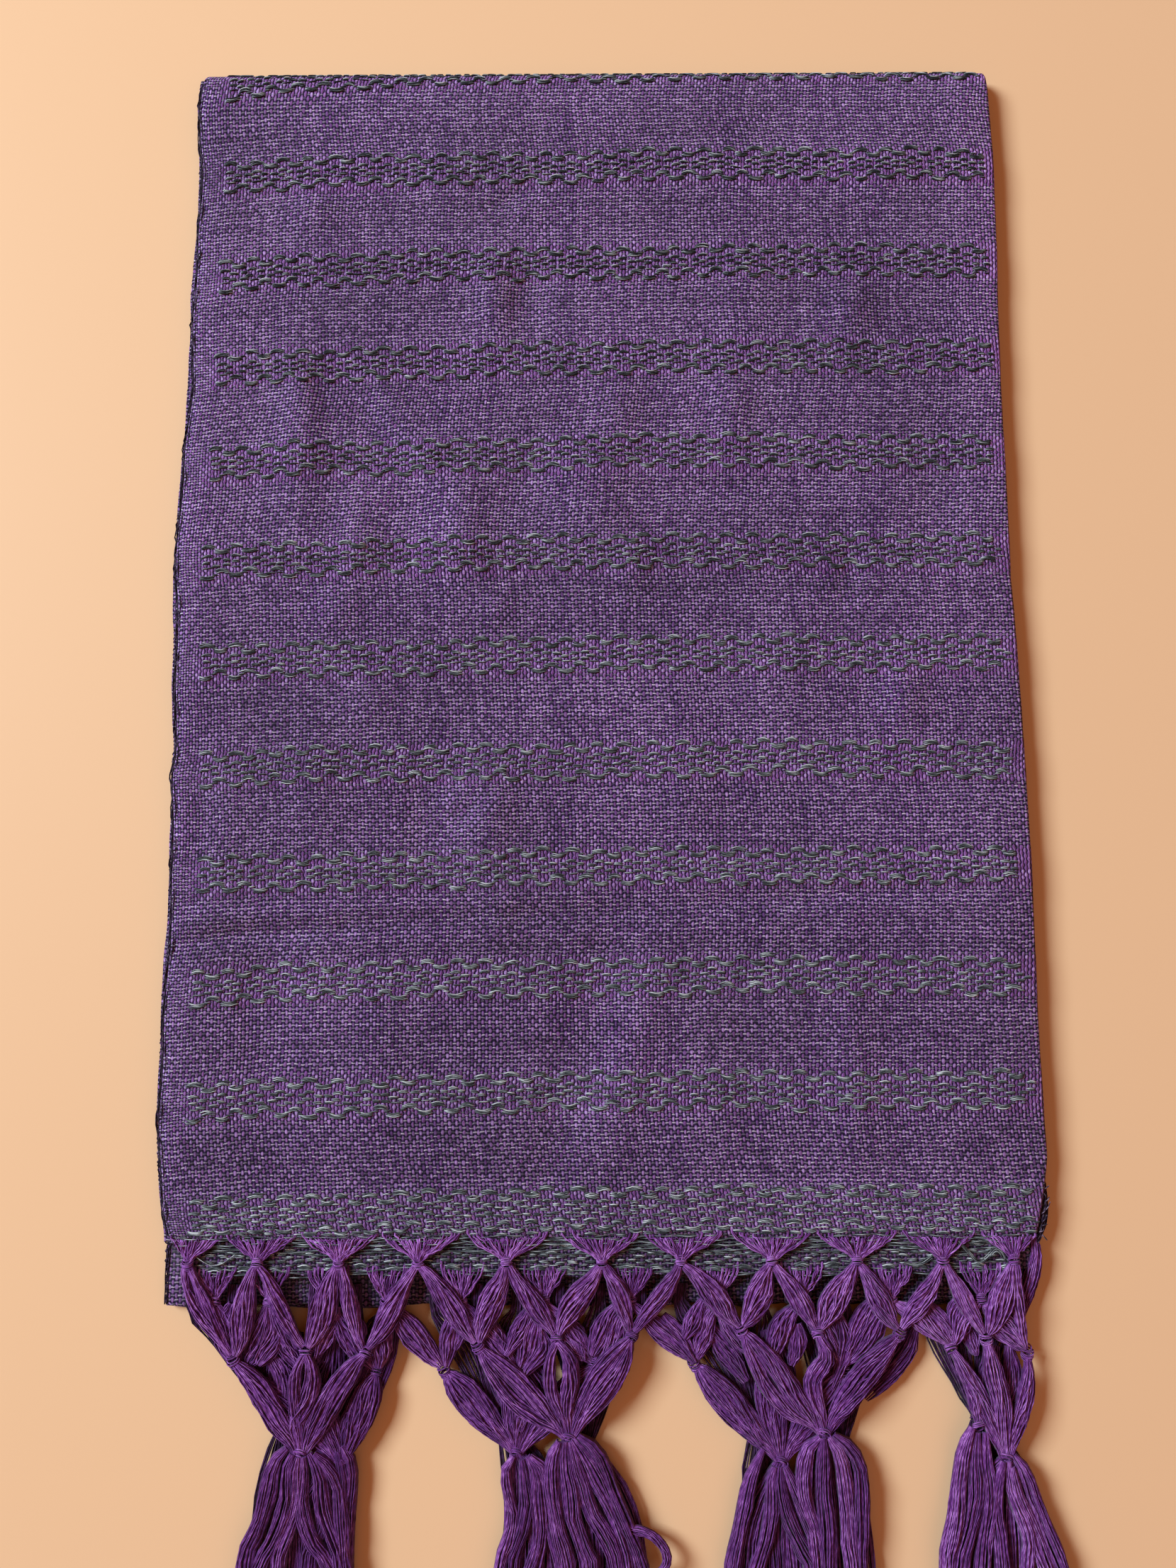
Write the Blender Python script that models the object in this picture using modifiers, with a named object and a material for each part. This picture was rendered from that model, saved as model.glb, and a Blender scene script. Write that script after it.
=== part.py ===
"""A rebozo (long woven shawl) lying folded on the floor, with its knotted fringe.

The cloth is folded once along its length and twice across it, so it lies eight
layers deep.  +X runs across the cloth, from the selvedges to the lengthwise fold,
+Y runs from the fringe to the top fold, +Z is up, and Z = 0 is the floor.
"""

import bmesh
import bpy
import numpy as np
from math import cos, pi, radians, sin, sqrt
from mathutils import Vector

MM = 0.001

# ---- driving dimensions, in millimetres -------------------------------------------
TOP_FOLD_Y = 240.5             # crest of the fold across the top
CLOTH_WALL = 1.2               # one layer of cloth
BAND_RISE = 0.4                # a brocade band stands this much over plain cloth
STACK_HEIGHT = 8.5             # eight layers, pressed
SEAM_GAP = 0.3

UPPER_EDGE_Y = -241.0          # fringed edge of the top layer
LOWER_EDGE_Y = -255.0          # fringed edge of the layers below it
FOLD_EDGE_Y = -267.0           # plain fold under the fringes

BAND_CENTRES = (196.9, 153.9, 110.3, 69.6, 27.7, -15.2, -58.1, -101.0, -144.0, -186.2, -228.8)
BAND_HALF = 7.5                # half the height of a brocade band
BAND_SHOULDER = 2.0            # the slope on each side of it
BAND_INSET = 11.0              # the bands start this far in from the selvedge

# ---- the folded outline: a row for each change of direction -----------------------
OUTLINE_COLUMNS = ("y", "left", "right")
OUTLINE = (
    (-267.0, -165.5, 168.6),
    (-241.0, -165.8, 169.4),
    (-231.0, -166.8, 171.2),
    (-213.0, -168.6, 171.4),
    (-202.0, -169.8, 171.0),
    (-120.0, -170.8, 170.6),
    (-37.0, -170.2, 170.2),
    (1.0, -170.6, 169.4),
    (16.0, -172.0, 168.4),
    (76.0, -171.8, 168.9),
    (138.0, -171.2, 169.4),
    (203.0, -168.4, 169.8),
    (231.0, -169.2, 168.8),
    (241.0, -167.6, 168.0),
)

# how far a band drops below its centre line, across the cloth
BOW_COLUMNS = ("x", "drop")
BOW = ((-172.0, 5.0), (-128.0, 2.2), (-64.0, 0.8), (0.0, 0.0), (50.0, -0.8), (110.0, -0.4), (172.0, 0.0))

# the hidden layers from the floor up: where each ends and how far it is pulled in
LAYER_COLUMNS = ("bottom", "top", "left_in", "right_in", "end_y")
LAYERS = (
    (0.0, 1.0, 0.6, 0.4, -267.0),
    (1.0, 2.0, 1.6, 0.4, -267.0),
    (2.0, 3.0, 0.2, 1.5, -267.0),
    (3.0, 3.9, 1.2, 1.5, -267.0),
    (3.9, 4.9, 0.4, 0.3, -253.6),
    (4.9, 5.9, 1.3, 0.3, -253.6),
    (5.9, 6.9, 0.0, 3.6, -255.0),
)

NOSE_START_Y = 231.0           # the hidden layers' corner is cut back from here
NOSE_CORNER = 3.4

# ---- fringe -----------------------------------------------------------------------
# knots of the first row, in order round the lengthwise fold
FIRST_KNOTS_UPPER = (-155.4, -129.0, -98.3, -68.3, -34.9, 1.2, 31.1, 65.3, 97.6, 129.9, 156.8)
FIRST_KNOTS_LOWER = (144.4, 110.4, 76.8, 44.5, 12.1, -20.7, -52.0, -80.5, -102.7, -124.8, -145.2)

# the fringed edges: where each strip lies, and the height of its knots
EDGE_COLUMNS = ("edge_y", "knot_y", "strip_bottom", "strip_top", "knot_z", "knot_deep")
UPPER_EDGE = (UPPER_EDGE_Y, -250.0, 7.3, 8.5, 8.75, 2.2)
LOWER_EDGE = (LOWER_EDGE_Y, -264.6, 5.9, 6.9, 6.55, 1.4)

# knots of the second row; each takes half of the first knot before it and half of the next
SECOND_COLUMNS = ("x", "y", "z", "head")
SECOND_KNOTS = (
    (-137.3, -284.8, 8.1, 0),
    (-110.1, -281.8, 8.2, 0),
    (-87.6, -282.4, 8.1, 0),
    (-45.6, -280.3, 8.1, 1),
    (-15.9, -277.6, 8.2, 1),
    (12.3, -276.7, 8.1, 1),
    (53.3, -274.8, 8.1, 2),
    (82.2, -275.9, 8.2, 2),
    (112.8, -276.0, 8.1, 2),
    (145.4, -277.9, 8.1, 3),
    (163.0, -286.0, 6.2, 3),
    (133.1, -294.5, 4.9, 3),
    (92.0, -289.5, 4.7, 4),
    (62.0, -289.0, 4.7, 4),
    (35.8, -287.8, 4.7, 4),
    (-2.0, -288.5, 4.7, 5),
    (-31.0, -291.0, 4.7, 5),
    (-58.5, -290.0, 4.7, 5),
    (-84.0, -290.5, 4.7, 6),
    (-110.0, -292.0, 4.7, 6),
    (-134.0, -291.0, 4.7, 6),
)

# tassel heads: the place, the height at which the arms arrive, then the spread of the tails
HEAD_COLUMNS = ("x", "y", "z", "arm_z", "deep", "spread_left", "spread_right", "end_left", "end_right")
HEADS = (
    (-111.5, -318.2, 7.6, 7.4, 3.6, -131.0, -113.5, -137.0, -116.0),
    (-11.5, -312.8, 7.6, 7.4, 3.6, -8.5, 19.5, -8.0, 24.0),
    (83.5, -311.4, 7.6, 7.4, 3.6, 78.5, 99.5, 79.5, 106.0),
    (151.3, -320.9, 6.2, 6.2, 4.0, 130.5, 166.5, 128.0, 170.0),
    (67.6, -321.8, 5.6, 4.7, 3.4, 51.5, 72.0, 47.0, 72.0),
    (-31.0, -318.5, 5.6, 4.7, 3.4, -39.0, -15.0, -42.0, -15.0),
    (-96.0, -322.0, 5.6, 4.7, 3.4, -107.5, -92.0, -109.0, -86.0),
)

# tassels of the end that lies underneath, each with three arms up to its own edge
UNDER_COLUMNS = ("x", "y", "spread_left", "spread_right", "end_left", "end_right")
UNDER_HEADS = (
    (-119.0, -311.0, -130.0, -113.5, -137.0, -116.0),
    (-92.0, -323.0, -107.5, -93.0, -109.0, -88.0),
    (-42.5, -309.0, -37.0, -14.5, -43.0, -16.0),
    (-3.0, -322.0, -8.0, 17.0, -9.0, 20.0),
    (58.0, -309.0, 53.0, 72.0, 46.0, 72.0),
    (91.0, -323.0, 79.0, 97.0, 79.0, 104.0),
    (140.5, -309.0, 133.0, 163.0, 130.0, 167.0),
)
UNDER_ARM_PITCH = 15.4         # pitch of the arms along the under edge
UNDER_HEAD_Z = 1.95
UNDER_HEAD_DEEP = 2.4

ARMS_PER_HEAD = 3
HEAD_LENGTH = 6.6
HEAD_LOWER_WIDE = 8.4
HEAD_WAIST_WIDE = 9.6
HEAD_UPPER_WIDE = 8.0
HALF_SHIFT = 1.35              # half-bunches leave a knot this far each side of its middle
HALF_CLEAR = 3.6               # and end this far beyond the knot's middle

TAIL_END_Y = -440.0            # the fringe's ends
TAIL_RAGGED = 4.0              # the tails end unevenly by this much
TAIL_COLUMNS = 5               # tails side by side in one level of a tassel
UPPER_TAIL_LEVELS = (3.95, 6.15)
UPPER_TAIL_DEEP = 1.5
UNDER_TAIL_LEVELS = (1.7,)
UNDER_TAIL_DEEP = 1.9
TAIL_WIDEST = 4.8
TAIL_PARTING = 0.7             # clear space between neighbouring tails
TAIL_SHARES = (0.05, 0.16, 0.34, 0.67, 1.0)
SPREAD_SHARE = 0.34            # the tails have opened to their spread by here
SWAY = 1.5                     # the tails' soft side-to-side wave
SWAY_LENGTH = 62.0

PURPLE = (0.085, 0.025, 0.115, 1.0)
CLOTH_COLOUR = (0.115, 0.072, 0.150, 1.0)
CLOTH_HIDDEN = (0.095, 0.060, 0.125, 1.0)


# ---- helpers ----------------------------------------------------------------------
def column(rows, names, name):
    """One named column of a table."""
    return [row[names.index(name)] for row in rows]


def named(row, names):
    """A table's row as a dictionary."""
    return dict(zip(names, row))


def left_edge(y):
    return float(np.interp(y, column(OUTLINE, OUTLINE_COLUMNS, "y"), column(OUTLINE, OUTLINE_COLUMNS, "left")))


def right_edge(y):
    return float(np.interp(y, column(OUTLINE, OUTLINE_COLUMNS, "y"), column(OUTLINE, OUTLINE_COLUMNS, "right")))


def band_drop(x):
    return float(np.interp(x, column(BOW, BOW_COLUMNS, "x"), column(BOW, BOW_COLUMNS, "drop")))


def soft_lumps(x, y):
    """Low swells of the top layer, from 0 to about 0.8 mm."""
    swell = sin(x / 41.0 + 0.6) * sin(y / 53.0 + 1.1) + 0.6 * sin(x / 19.0 - y / 37.0)
    return 0.25 * (swell + 1.6)


def make_material(name, colour, roughness):
    material = bpy.data.materials.new(name)
    material.use_nodes = True
    shader = material.node_tree.nodes["Principled BSDF"]
    shader.inputs["Base Color"].default_value = colour
    shader.inputs["Roughness"].default_value = roughness
    shader.inputs["Metallic"].default_value = 0.0
    material.diffuse_color = colour
    return material


def add_object(name, bm, material):
    """Scale a mesh built in millimetres to metres and put it in the part's collection."""
    bmesh.ops.scale(bm, verts=bm.verts, vec=(MM, MM, MM))
    mesh = bpy.data.meshes.new(name)
    bm.to_mesh(mesh)
    bm.free()
    mesh.materials.append(material)
    thing = bpy.data.objects.new(name, mesh)
    PART.objects.link(thing)
    return thing


# ---- the top layer ----------------------------------------------------------------
def spine_stations():
    """Stations along the top layer: y, z, slope angle and whether a band crosses there."""
    stations = [(UPPER_EDGE_Y, 0.0)]
    for centre in sorted(BAND_CENTRES):
        for offset, raised in (
            (-BAND_HALF - BAND_SHOULDER, 0.0),
            (-BAND_HALF, 1.0),
            (BAND_HALF, 1.0),
            (BAND_HALF + BAND_SHOULDER, 0.0),
        ):
            if centre + offset > UPPER_EDGE_Y + 1.0:
                stations.append((centre + offset, raised))
    stations.append((222.0, 0.0))
    inside = STACK_HEIGHT - CLOTH_WALL
    path = [(y, inside, 90.0, raised) for y, raised in stations]
    # the wrap round the top fold is part of an ellipse
    centre_y = TOP_FOLD_Y - 5.0
    centre_z = STACK_HEIGHT * 0.5 + 0.05
    half_y = 5.0 - CLOTH_WALL
    half_z = inside - centre_z
    for angle in (90.0, 66.0, 44.0, 22.0, 0.0, -22.0, -44.0, -62.0):
        turn = radians(angle)
        path.append((centre_y + half_y * cos(turn), centre_z + half_z * sin(turn), angle, 0.0))
    return path


def cloth_top_layer(material):
    """The layer that shows: a wall that rolls over the top fold and the lengthwise fold."""
    roll_inside = 0.25
    across = [("flat", step / 14.0) for step in range(15)]
    across += [("roll", angle) for angle in (30.0, 60.0, 90.0)]
    across += [("lip", 0.75)]
    bm = bmesh.new()
    height = bm.verts.layers.deform.verify()
    grid = []
    for y, z, angle, raised in spine_stations():
        turn = radians(angle)
        normal = Vector((0.0, cos(turn), sin(turn)))
        along = min(max((y + 241.0) / 40.0, 0.0), 1.0) * min(max((232.0 - y) / 20.0, 0.0), 1.0)
        peek = 2.4 * min(max((y + 262.0) / 60.0, 0.3), 1.0)
        left = left_edge(y) + peek
        turn_x = right_edge(y) - roll_inside - CLOTH_WALL
        row = []
        for kind, amount in across:
            depth = 0.0
            if kind == "flat":
                x = left + (turn_x - left) * amount
            elif kind == "roll":
                x = turn_x + roll_inside * sin(radians(amount))
                depth = roll_inside * (1.0 - cos(radians(amount)))
            else:
                x = turn_x + roll_inside
                depth = roll_inside + amount
            point = Vector((x, y, z)) - normal * depth
            if angle == 90.0 and abs(y) < 236.0:
                inset = min(max((x - left) / 30.0, 0.0), 1.0) * min(max((turn_x - x) / 24.0, 0.0), 1.0)
                point.z += soft_lumps(x, y) * inset * along
                point.y -= band_drop(x) * along
            vert = bm.verts.new(point)
            on_band = raised * (1.0 if x > left + BAND_INSET else 0.0)
            vert[height][0] = (CLOTH_WALL + BAND_RISE * on_band) / (CLOTH_WALL + BAND_RISE)
            row.append(vert)
        grid.append(row)
    for low, high in zip(grid, grid[1:]):
        for column_index in range(len(across) - 1):
            bm.faces.new((low[column_index], low[column_index + 1], high[column_index + 1], high[column_index]))
    thing = add_object("cloth_top_layer", bm, material)
    thing.vertex_groups.new(name="height")
    wall = thing.modifiers.new("wall", "SOLIDIFY")
    wall.thickness = (CLOTH_WALL + BAND_RISE) * MM
    wall.offset = 1.0
    wall.vertex_group = "height"
    wall.use_even_offset = False
    return thing


# ---- the hidden layers ------------------------------------------------------------
def top_nose(z):
    """Y of the hidden layers' rounded end inside the top fold, at a height."""
    centre_z = STACK_HEIGHT * 0.5 + 0.05
    away = abs(z - centre_z) / 2.85
    reach = sqrt(max(1.0 - away * away, 0.09))
    return TOP_FOLD_Y - 4.9 + 3.2 * reach


def layer_ring(z, left_in, right_in, end_y, pull):
    """Outline of the stack at one height; pull draws it in, at a groove."""
    steps_along = 22
    steps_across = 12
    top_y = top_nose(z)
    points = []
    stations = [end_y + pull + (top_y - end_y - pull) * step / steps_along for step in range(steps_along + 1)]
    for y in stations:
        corner = NOSE_CORNER * max(y - NOSE_START_Y, 0.0) / (top_y - NOSE_START_Y)
        points.append((right_edge(y) - right_in - pull - corner, y))
    right_top = points[-1][0]
    left_top = left_edge(top_y) + left_in + pull
    for step in range(1, steps_across):
        points.append((right_top + (left_top - right_top) * step / steps_across, top_y))
    for y in reversed(stations):
        wave = 0.35 * sin(y / 23.0 + left_in * 3.0)
        points.append((left_edge(y) + left_in + pull + wave, y))
    left_end = points[-1][0]
    right_end = points[0][0]
    for step in range(1, steps_across):
        points.append((left_end + (right_end - left_end) * step / steps_across, end_y + pull))
    return [Vector((x, y, z)) for x, y in points]


def cloth_inner_layers(material):
    """The seven hidden layers as one rounded solid, grooved between layers, flat below."""
    rings = []
    first = named(LAYERS[0], LAYER_COLUMNS)
    rings.append(layer_ring(0.0, first["left_in"], first["right_in"], first["end_y"], 1.1))
    for row in LAYERS:
        layer = named(row, LAYER_COLUMNS)
        thick = layer["top"] - layer["bottom"]
        nose = 0.0
        if layer["end_y"] == FOLD_EDGE_Y:
            middle = 1.95
            away = abs(layer["bottom"] + thick * 0.5 - middle)
            nose = 1.6 * (1.0 - sqrt(max(1.0 - (away / 2.3) ** 2, 0.0)))
        for share, pull in ((0.3, 0.15), (0.72, 0.15)):
            rings.append(layer_ring(layer["bottom"] + thick * share, layer["left_in"], layer["right_in"],
                                    layer["end_y"] + nose, pull))
        if row is not LAYERS[-1]:
            rings.append(layer_ring(layer["top"], layer["left_in"] * 0.5 + 0.9, layer["right_in"] + 0.3,
                                    layer["end_y"] + nose + 0.2, 0.5))
    last = named(LAYERS[-1], LAYER_COLUMNS)
    rings.append(layer_ring(last["top"], last["left_in"], last["right_in"], last["end_y"], 0.4))
    bm = bmesh.new()
    loops = [[bm.verts.new(point) for point in ring] for ring in rings]
    count = len(loops[0])
    for low, high in zip(loops, loops[1:]):
        for index in range(count):
            following = (index + 1) % count
            bm.faces.new((low[index], low[following], high[following], high[index]))
    bm.faces.new(list(reversed(loops[0])))
    bm.faces.new(loops[-1])
    bmesh.ops.recalc_face_normals(bm, faces=bm.faces)
    bmesh.ops.triangulate(bm, faces=[face for face in bm.faces if len(face.verts) > 4])
    return add_object("cloth_inner_layers", bm, material)


# ---- fringe: locks grown out of the faces of a knot -------------------------------
def section_axes(heading):
    """Level side axis and upright axis of a lock's section."""
    side = Vector((-heading.y, heading.x, 0.0)).normalized()
    return side, heading.cross(side) * -1.0


def grow(bm, face, stations):
    """Draw one lock out of a face; a station is (point, width, depth)."""
    points = [Vector(station[0]) for station in stations]
    start = face.calc_center_median()
    for index, (point, wide, deep) in enumerate(stations):
        before = points[index - 1] if index else start
        after = points[min(index + 1, len(points) - 1)]
        heading = (after - before).normalized()
        if index == len(points) - 1:
            heading = Vector((0.0, 1.0 if heading.y > 0.0 else -1.0, 0.0))
        side, up = section_axes(heading)
        middle = face.calc_center_median()
        signs = {}
        for vert in face.verts:
            offset = vert.co - middle
            signs[vert] = (1.0 if offset.dot(side) > 0.0 else -1.0, 1.0 if offset.dot(up) > 0.0 else -1.0)
        old_places = {tuple(round(value, 5) for value in vert.co): signs[vert] for vert in face.verts}
        face = bmesh.ops.extrude_discrete_faces(bm, faces=[face])["faces"][0]
        for vert in face.verts:
            across, upright = old_places[tuple(round(value, 5) for value in vert.co)]
            vert.co = points[index] + side * (across * wide * 0.5) + up * (upright * deep * 0.5)
    return face


def face_grid(bm, columns, rows, centre, wide, deep):
    """A flat grid of faces standing across Y; faces come back sorted by x, then z."""
    corners = []
    for row in range(rows + 1):
        line = []
        for step in range(columns + 1):
            x = centre.x + wide * (step / columns - 0.5)
            z = centre.z + deep * (row / rows - 0.5)
            line.append(bm.verts.new((x, centre.y, z)))
        corners.append(line)
    faces = []
    for step in range(columns):
        for row in range(rows):
            faces.append(bm.faces.new((corners[row][step], corners[row][step + 1],
                                       corners[row + 1][step + 1], corners[row + 1][step])))
    return faces


def border(faces):
    """Edges that only one of these faces uses."""
    return [edge for edge in {edge for face in faces for edge in face.edges}
            if len(edge.link_faces) == 1]


def split_across(bm, face, parts):
    """Cut a lock's end face into parts side by side; they come back sorted by x."""
    pieces = [face]
    for remaining in range(parts, 1, -1):
        rest = pieces.pop()
        level_edges = sorted(rest.edges, key=lambda edge: abs(edge.verts[0].co.z - edge.verts[1].co.z))[:2]
        cuts = []
        for edge in level_edges:
            left = min(edge.verts, key=lambda vert: vert.co.x)
            cuts.append(bmesh.utils.edge_split(edge, left, 1.0 / remaining)[1])
        fresh = bmesh.utils.face_split(rest, cuts[0], cuts[1])[0]
        pieces += sorted((rest, fresh), key=lambda item: item.calc_center_median().x)
    return pieces


def first_knots():
    """First-row knots in order round the fold: place, and which way the sequence runs."""
    knots = []
    for xs, edge, way in ((FIRST_KNOTS_UPPER, UPPER_EDGE, 1.0), (FIRST_KNOTS_LOWER, LOWER_EDGE, -1.0)):
        level = named(edge, EDGE_COLUMNS)
        for x in xs:
            knots.append({"x": x, "y": level["knot_y"], "z": level["knot_z"], "way": way,
                          "deep": level["knot_deep"]})
    return knots


def half_ends(number, knots):
    """Where the half-bunches of one second-row knot end, just short of the first row."""
    last = len(knots) - 1
    halves = [(knots[number], 1.0), (knots[number + 1], -1.0)]
    if number == 0:
        halves.append((knots[0], -1.0))
    if number + 1 == last:
        halves.append((knots[last], 1.0))
    ends = []
    for knot, half in halves:
        shift = HALF_SHIFT * half * knot["way"]
        ends.append((Vector((knot["x"] + shift, knot["y"] - HALF_CLEAR, knot["z"])), knot["deep"]))
    return sorted(ends, key=lambda item: item[0].x)


def hang_tails(bm, faces, head, levels, deep, seed):
    """Draw the tails out of a head's lower faces, fanning to the tassel's spread."""
    root_pitch = HEAD_LOWER_WIDE / TAIL_COLUMNS
    last_column = TAIL_COLUMNS - 1
    spread_pitch = (head["spread_right"] - head["spread_left"]) / last_column
    for index, face in enumerate(faces):
        place, level = divmod(index, len(levels))
        across = place / last_column
        spread_x = head["spread_left"] + (head["spread_right"] - head["spread_left"]) * across
        end_x = head["end_left"] + (head["end_right"] - head["end_left"]) * across
        end_y = TAIL_END_Y + TAIL_RAGGED * sin((index + seed) * 2.4)
        start = face.calc_center_median()
        stations = []
        for share in TAIL_SHARES:
            near = max(1.0 - share / SPREAD_SHARE, 0.0)
            opening = 1.0 - near * near
            beyond = max(share - SPREAD_SHARE, 0.0) / (1.0 - SPREAD_SHARE)
            y = start.y + (end_y - start.y) * share
            x = start.x + (spread_x - start.x) * opening + (end_x - spread_x) * beyond
            x += SWAY * sin(2.0 * pi * y / SWAY_LENGTH) * opening
            z = start.z + (levels[level] - start.z) * opening
            pitch = root_pitch + (spread_pitch - root_pitch) * opening
            wide = min(pitch - TAIL_PARTING * (0.5 + 0.5 * opening), TAIL_WIDEST)
            stations.append((Vector((x, y, z)), wide, deep * (0.6 + 0.4 * opening)))
        grow(bm, face, stations)


def head_block(bm, centre, deep, rows):
    """A tassel's head; returns its tail faces and its arm faces, each sorted by x."""
    reach = Vector((0.0, HEAD_LENGTH * 0.5, 0.0))
    lower = face_grid(bm, TAIL_COLUMNS, rows, centre - reach, HEAD_LOWER_WIDE, deep * 0.9)
    waist = face_grid(bm, ARMS_PER_HEAD, 1, centre, HEAD_WAIST_WIDE, deep)
    waist_edges = border(waist)
    upper = face_grid(bm, ARMS_PER_HEAD, 1, centre + reach, HEAD_UPPER_WIDE, deep * 0.8)
    bmesh.ops.bridge_loops(bm, edges=border(lower) + waist_edges)
    bmesh.ops.bridge_loops(bm, edges=waist_edges + border(upper))
    bmesh.ops.delete(bm, geom=waist, context="FACES_ONLY")
    return lower, upper


def tassel(number, material):
    """A tassel of the upper end: head, three arms with their knots, six halves, tails."""
    head = named(HEADS[number], HEAD_COLUMNS)
    knots = first_knots()
    bm = bmesh.new()
    centre = Vector((head["x"], head["y"], head["z"]))
    tails, arms = head_block(bm, centre, head["deep"], len(UPPER_TAIL_LEVELS))
    seconds = [(index, named(row, SECOND_COLUMNS)) for index, row in enumerate(SECOND_KNOTS)
               if row[SECOND_COLUMNS.index("head")] == number]
    seconds.sort(key=lambda item: item[1]["x"])
    for face, (index, second) in zip(arms, seconds):
        start = face.calc_center_median()
        place = Vector((second["x"], second["y"], second["z"]))
        way = place - start
        turned = Vector((0.0, 1.0, 0.0))
        lead = Vector((way.x * 0.12, 4.0, head["arm_z"] - start.z))
        stations = [
            (start + lead, 3.6, 1.8),
            (start.lerp(place, 0.55) + Vector((0.0, 0.0, (head["arm_z"] - start.z) * 0.5)), 5.8, 1.9),
            (place - turned * 4.2, 3.0, 1.7),
            (place - turned * 1.8, 4.6, 2.2),
            (place + turned * 1.8, 4.6, 2.2),
            (place + turned * 3.6, 4.4, 1.7),
        ]
        end = grow(bm, face, stations)
        targets = half_ends(index, knots)
        for part, (target, deep) in zip(split_across(bm, end, len(targets)), targets):
            root = part.calc_center_median()
            bow = root.lerp(target, 0.45)
            bow.z = root.z + (target.z - root.z) * 0.65
            grow(bm, part, [
                (bow, 5.6, 1.5),
                (target + (bow - target) * 0.18, 2.4, 1.3),
                (target, 2.0, min(deep, 1.3)),
            ])
    hang_tails(bm, tails, head, UPPER_TAIL_LEVELS, UPPER_TAIL_DEEP, number)
    bmesh.ops.recalc_face_normals(bm, faces=bm.faces)
    return add_object("tassel_%d" % (number + 1), bm, material)


def under_tassel(number, material):
    """A tassel of the end underneath: head, three arms over the fold edge, tails."""
    head = named(UNDER_HEADS[number], UNDER_COLUMNS)
    bm = bmesh.new()
    centre = Vector((head["x"], head["y"], UNDER_HEAD_Z))
    tails, arms = head_block(bm, centre, UNDER_HEAD_DEEP, len(UNDER_TAIL_LEVELS))
    for place, face in enumerate(arms):
        middle_arm = (len(UNDER_HEADS) * ARMS_PER_HEAD - 1) / 2
        root_x = (number * ARMS_PER_HEAD + place - middle_arm) * UNDER_ARM_PITCH
        start = face.calc_center_median()
        stations = [
            (Vector((start.x + (root_x - start.x) * 0.15, start.y + 4.0, 1.9)), 3.4, 1.6),
            (Vector((start.x + (root_x - start.x) * 0.62, FOLD_EDGE_Y - 13.0, 2.1)), 5.4, 1.6),
            (Vector((root_x, FOLD_EDGE_Y - 1.6, 4.75)), 4.6, 0.9),
            (Vector((root_x, LOWER_EDGE_Y - 3.6, 4.85)), 4.6, 0.9),
        ]
        grow(bm, face, stations)
    hang_tails(bm, tails, head, UNDER_TAIL_LEVELS, UNDER_TAIL_DEEP, number * ARMS_PER_HEAD)
    bmesh.ops.recalc_face_normals(bm, faces=bm.faces)
    return add_object("tassel_under_%d" % (number + 1), bm, material)


def fringe_edge(name, edge, xs, material):
    """A narrow strip along a fringed edge, with a fan of ends drawn into each first knot."""
    level = named(edge, EDGE_COLUMNS)
    back_y = level["edge_y"] - SEAM_GAP
    front_y = back_y - 1.4
    middle_z = (level["strip_bottom"] + level["strip_top"]) * 0.5
    deep = level["strip_top"] - level["strip_bottom"]
    left = left_edge(back_y) + 3.2
    right = right_edge(back_y) - 3.2
    fan_half = 10.5
    stops = [left]
    for x in sorted(xs):
        stops += [max(x - fan_half, left + 0.6), min(x + fan_half, right - 0.6)]
    stops.append(right)
    for index in range(2, len(stops) - 2, 2):
        if stops[index + 1] - stops[index] < 0.8:
            shared = (stops[index] + stops[index + 1]) * 0.5
            stops[index] = shared - 0.4
            stops[index + 1] = shared + 0.4
    bm = bmesh.new()
    rims = []
    for x in stops:
        corners = [(back_y, -0.5), (front_y, -0.5), (front_y, 0.5), (back_y, 0.5)]
        rims.append([bm.verts.new((x, y, middle_z + deep * share)) for y, share in corners])
    fronts = []
    for here, there in zip(rims, rims[1:]):
        for corner in range(4):
            following = (corner + 1) % 4
            face = bm.faces.new((here[corner], here[following], there[following], there[corner]))
            if corner == 1:
                fronts.append(face)
    bm.faces.new(rims[0])
    bm.faces.new(list(reversed(rims[-1])))
    bmesh.ops.recalc_face_normals(bm, faces=bm.faces)
    for face, x in zip(fronts[1::2], sorted(xs)):
        z = level["knot_z"]
        knot_y = level["knot_y"]
        grow(bm, face, [
            (Vector((x, knot_y + 3.4, z - 0.2)), 4.2, level["knot_deep"] * 0.75),
            (Vector((x, knot_y + 1.6, z)), 4.4, level["knot_deep"]),
            (Vector((x, knot_y - 1.6, z)), 4.4, level["knot_deep"]),
            (Vector((x, knot_y - 3.2, z)), 3.6, level["knot_deep"] * 0.8),
        ])
    bmesh.ops.recalc_face_normals(bm, faces=bm.faces)
    return add_object(name, bm, material)


# ---- build ------------------------------------------------------------------------
for leftover in list(bpy.data.objects):
    bpy.data.objects.remove(leftover, do_unlink=True)

PART = bpy.data.collections.new("rebozo_shawl")
bpy.context.scene.collection.children.link(PART)

cloth_material = make_material("woven_cloth", CLOTH_COLOUR, 0.9)
hidden_material = make_material("woven_cloth_under", CLOTH_HIDDEN, 0.9)
fringe_material = make_material("fringe_cotton", PURPLE, 0.85)

cloth_top_layer(cloth_material)
cloth_inner_layers(hidden_material)
fringe_edge("fringe_edge_upper", UPPER_EDGE, FIRST_KNOTS_UPPER, fringe_material)
fringe_edge("fringe_edge_lower", LOWER_EDGE, FIRST_KNOTS_LOWER, fringe_material)
for head_number in range(len(HEADS)):
    tassel(head_number, fringe_material)
for head_number in range(len(UNDER_HEADS)):
    under_tassel(head_number, fringe_material)
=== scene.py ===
from math import cos, pi, radians, sin, sqrt

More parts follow.
